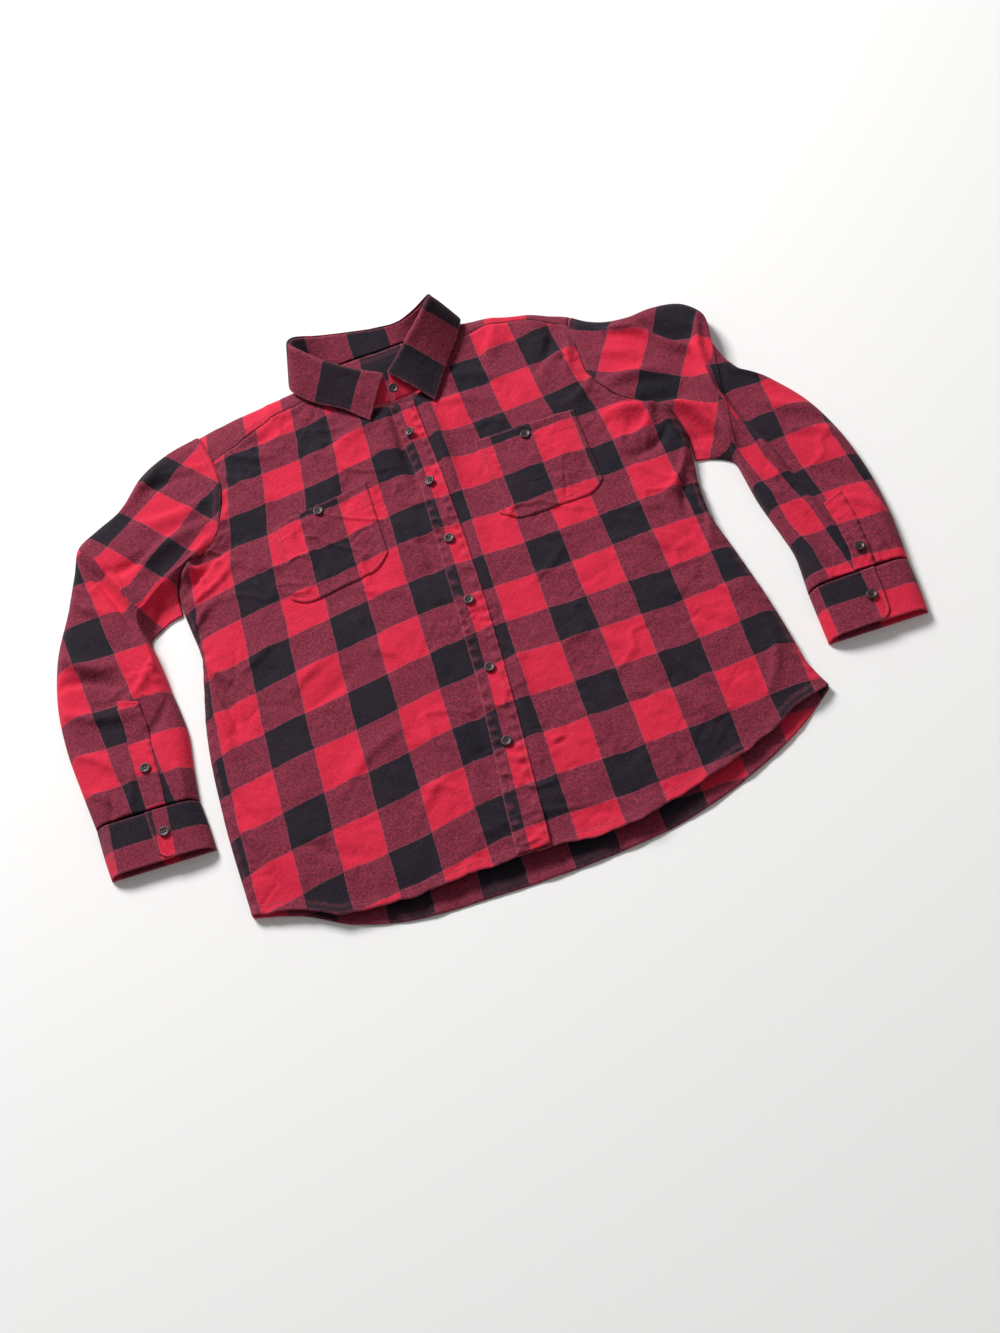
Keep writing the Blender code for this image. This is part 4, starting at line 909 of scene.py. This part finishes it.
def spun_thread():
    """Polyester thread, dark wine red, slightly lustrous, with its twist too fine to show."""
    material, tree, shader = new_material("polyester_thread")
    inside = node(tree, "TexCoord", output="Object")
    shade = node(tree, "TexNoise", {"Vector": inside, "Scale": 150.0}, "Fac")
    colour = node(tree, "Mix", {0: shade, 6: srgb("3a1822"), 7: srgb("7c2c3e")}, 2, data_type="RGBA")
    connect(shader, {"Base Color": colour, "Roughness": 0.6})
    return material


THREAD = spun_thread()
stitches("stitches_fronts", [inset(grid, 0, 9.5)[:-3] for grid in (right_front, left_front)]
         + [line[5:] for grid in (right_front, left_front) for line in insets(grid, 1, 2.0, 8.5)])
stitches("stitches_placket", [inset(placket_grid, 1, 5.0), inset(placket_grid[:, ::-1], 1, 5.0),
                              inset(placket_grid[::-1], 0, 8.0)[3:-3]])
for name, grid in (("right", right_pocket), ("left", left_pocket)):
    stitches("stitches_pocket_" + name, insets(grid, 1, 1.8, 8.0) + insets(grid[:, ::-1], 1, 1.8, 8.0)
             + insets(grid, 0, 1.8, 8.0) + insets(grid[::-1], 0, 24.0))
stitches("stitches_yoke", [line[end] for end in (slice(51), slice(-51, None))
                           for line in insets(yoke_grid, 1, 2.0, 8.0)])
for name, grid, strip, band_end in (("right", right_sleeve, right_strip, right_cuff),
                                    ("left", left_sleeve, left_strip, left_cuff)):
    stitches("stitches_sleeve_" + name, [line[6:-6] for line in insets(grid, 0, 2.0, 8.5)]
             + insets(strip, 1, 2.0) + insets(strip[:, ::-1], 1, 2.0) + insets(strip, 0, 3.0, 30.0))
    stitches("stitches_cuff_" + name, [inset(band_end[:, :60], 0, 2.2), inset(band_end[::-1, :60], 0, 6.0),
                                       inset(band_end[:, :60], 1, 6.0)[2:-2]])
leaf_top = leaf_grid + (0, 0, 0.9)
stitches("stitches_collar", [inset(leaf_top[::-1, :75], 0, 6.0)[3:], inset(leaf_top[::-1, -82:], 0, 6.0)[:-3],
                             inset(leaf_top, 1, 5.0)[10:-3], inset(leaf_top[:, ::-1], 1, 5.0)[10:-3]])

# ---- Buttons: four-hole shirt buttons, 12.4 mm across, dished, in dark smoky horn ----
# Polyester made to look like horn, polished. Each is sewn through with two bars of thread.
BUTTON_RADIUS, BUTTON_THICKNESS, HOLE_PLACE = 6.2, 2.6, 1.25


def smoky_horn():
    """Dark polyester clouded like horn: a smooth hard surface with a soft highlight."""
    material, tree, shader = new_material("polished_imitation_horn")
    inside = node(tree, "TexCoord", output="Object")
    cloud = node(tree, "TexNoise", {"Vector": inside, "Scale": 180.0, "Detail": 4.0, "Distortion": 2.5}, "Fac")
    cloud = node(tree, "MapRange", {"Value": cloud, "From Min": 0.35, "From Max": 0.7})
    colour = node(tree, "Mix", {0: cloud, 6: srgb("1a0f12"), 7: srgb("4e3034")}, 2, data_type="RGBA")
    connect(shader, {"Base Color": colour, "Roughness": 0.42})
    return material


HORN = smoky_horn()


def button_shape():
    """A spun profile whose middle has four pits: height at radius r and angle a, less a bell round each hole."""
    radii = np.concatenate([np.linspace(0, 0.55, 12), np.linspace(0.6, 1.0, 9)])
    heights = np.interp(radii, (0, 0.52, 0.64, 0.78, 0.9, 0.97, 1.0), (0.72, 0.72, 0.84, 1.0, 0.96, 0.8, 0.55))
    angles = np.linspace(0, 2 * np.pi, 33)[:-1]
    r = np.concatenate([radii, (0.96, 0.8, 0.0)])[:, None]
    h = np.concatenate([heights, (0.2, 0.0, 0.0)])[:, None] + 0 * angles
    x, y = r * np.cos(angles) * BUTTON_RADIUS, r * np.sin(angles) * BUTTON_RADIUS
    for hole_x in (-HOLE_PLACE, HOLE_PLACE):
        for hole_y in (-HOLE_PLACE, HOLE_PLACE):
            near = bell((x - hole_x) ** 2 + (y - hole_y) ** 2, 0.72**2)
            h[: len(radii)] -= 0.62 * near[: len(radii)]
    return together(x, y, h * BUTTON_THICKNESS)


def sewn_button(name, x, y, z, tilt=0.0, pitch=0.0):
    shape = button_shape()
    a, b = np.radians(pitch), np.radians(-tilt)
    about_x = np.array([[1, 0, 0], [0, np.cos(a), -np.sin(a)], [0, np.sin(a), np.cos(a)]])
    about_y = np.array([[np.cos(b), 0, np.sin(b)], [0, 1, 0], [-np.sin(b), 0, np.cos(b)]])
    turned = about_y @ about_x
    grid = shape @ turned.T + (x, y, z)
    rows, columns = grid.shape[:2]
    index = np.arange(rows * columns).reshape(rows, columns)
    after = np.roll(index, -1, axis=1)
    faces = np.stack([index[:-1], index[1:], after[1:], after[:-1]], axis=-1).reshape(-1, 4)
    piece = new_piece(name + "_horn", grid, faces, HORN)
    join = piece.modifiers.new("poles", "WELD")
    join.merge_threshold = 0.00001
    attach(piece, "root")
    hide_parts(name)
    top = 0.86 * BUTTON_THICKNESS
    bars = [np.array([(-HOLE_PLACE, side, top), (HOLE_PLACE, side, top)]) @ turned.T + (x, y, z)
            for side in (-HOLE_PLACE, HOLE_PLACE)]
    stitches("thread_" + name, bars, pitch=2 * HOLE_PLACE)


# Front buttons from the top down, columns: x, y, tilt in degrees
FRONT_BUTTONS = ((9, 297, 24), (14, 218, 22), (15, 130, 4), (15, 39, 3), (14, -55, 3), (7, -150, 4))
for number, (x, y, tilt) in enumerate(FRONT_BUTTONS, 1):
    lean = BUTTON_RADIUS * np.sin(np.radians(tilt))
    sewn_button(f"button_front_{number}", x, y, float(worn_top(x, y)) + DOUBLED + 2 * SEAM + lean + 0.3, tilt)
sewn_button("button_collar", 6, 364, 30.5, 0.0, 20.0)
for name, x, y in (("button_pocket_right", -124, 225), ("button_pocket_left", 140, 242)):
    sewn_button(name, x, y, float(worn_top(x, y)) + CLOTH + 2 * SEAM + 1.6)
for name, strip in (("button_sleeve_right", right_strip), ("button_sleeve_left", left_strip)):
    place = strip[44].mean(axis=0)
    sewn_button(name, place[0], place[1], strip[44, :, 2].max() + 0.3)
for name, rows, lap in (("button_cuff_right", RIGHT_CUFF, 0.50), ("button_cuff_left", LEFT_CUFF, 0.36)):
    place = sleeve_top(rows[1], [lap + 0.12])[0]
    sewn_button(name, place[0], place[1], place[2] + DOUBLED + 2 * SEAM + 0.7)

# ---- Floor and light: a pale table under a wide soft light from the upper left ----
paper, _, paper_shader = new_material("white_paper")
connect(paper_shader, {"Base Color": srgb("f6f5f4"), "Roughness": 0.9})
corners = np.array([(-6000, -6000, -0.5), (6000, -6000, -0.5), (6000, 6000, -0.5), (-6000, 6000, -0.5)])
floor = new_piece("floor", corners, np.array([[0, 1, 2, 3]]), paper)


def soft_light(name, place, size, power):
    """A square area light aimed at the shirt's middle."""
    light = bpy.data.lights.new(name, "AREA")
    light.size, light.energy = size, power
    lamp = bpy.data.objects.new(name, light)
    bpy.context.collection.objects.link(lamp)
    back = np.array(place, float) / np.linalg.norm(place)
    side = np.cross((0, 1.0, 0.2), back)
    side /= np.linalg.norm(side)
    pose = np.eye(4)
    pose[:3, 0], pose[:3, 1], pose[:3, 2], pose[:3, 3] = side, np.cross(back, side), back, place
    lamp.matrix_world = pose.T.tolist()


soft_light("key", (-1.6, 3.4, 3.1), 1.6, 290.0)
soft_light("fill", (1.3, -0.8, 2.0), 2.0, 4.0)
world = bpy.data.worlds.new("studio")
world.use_nodes = True
connect(world.node_tree.nodes["Background"], {"Color": (1, 1, 1, 1), "Strength": 0.24})
bpy.context.scene.world = world
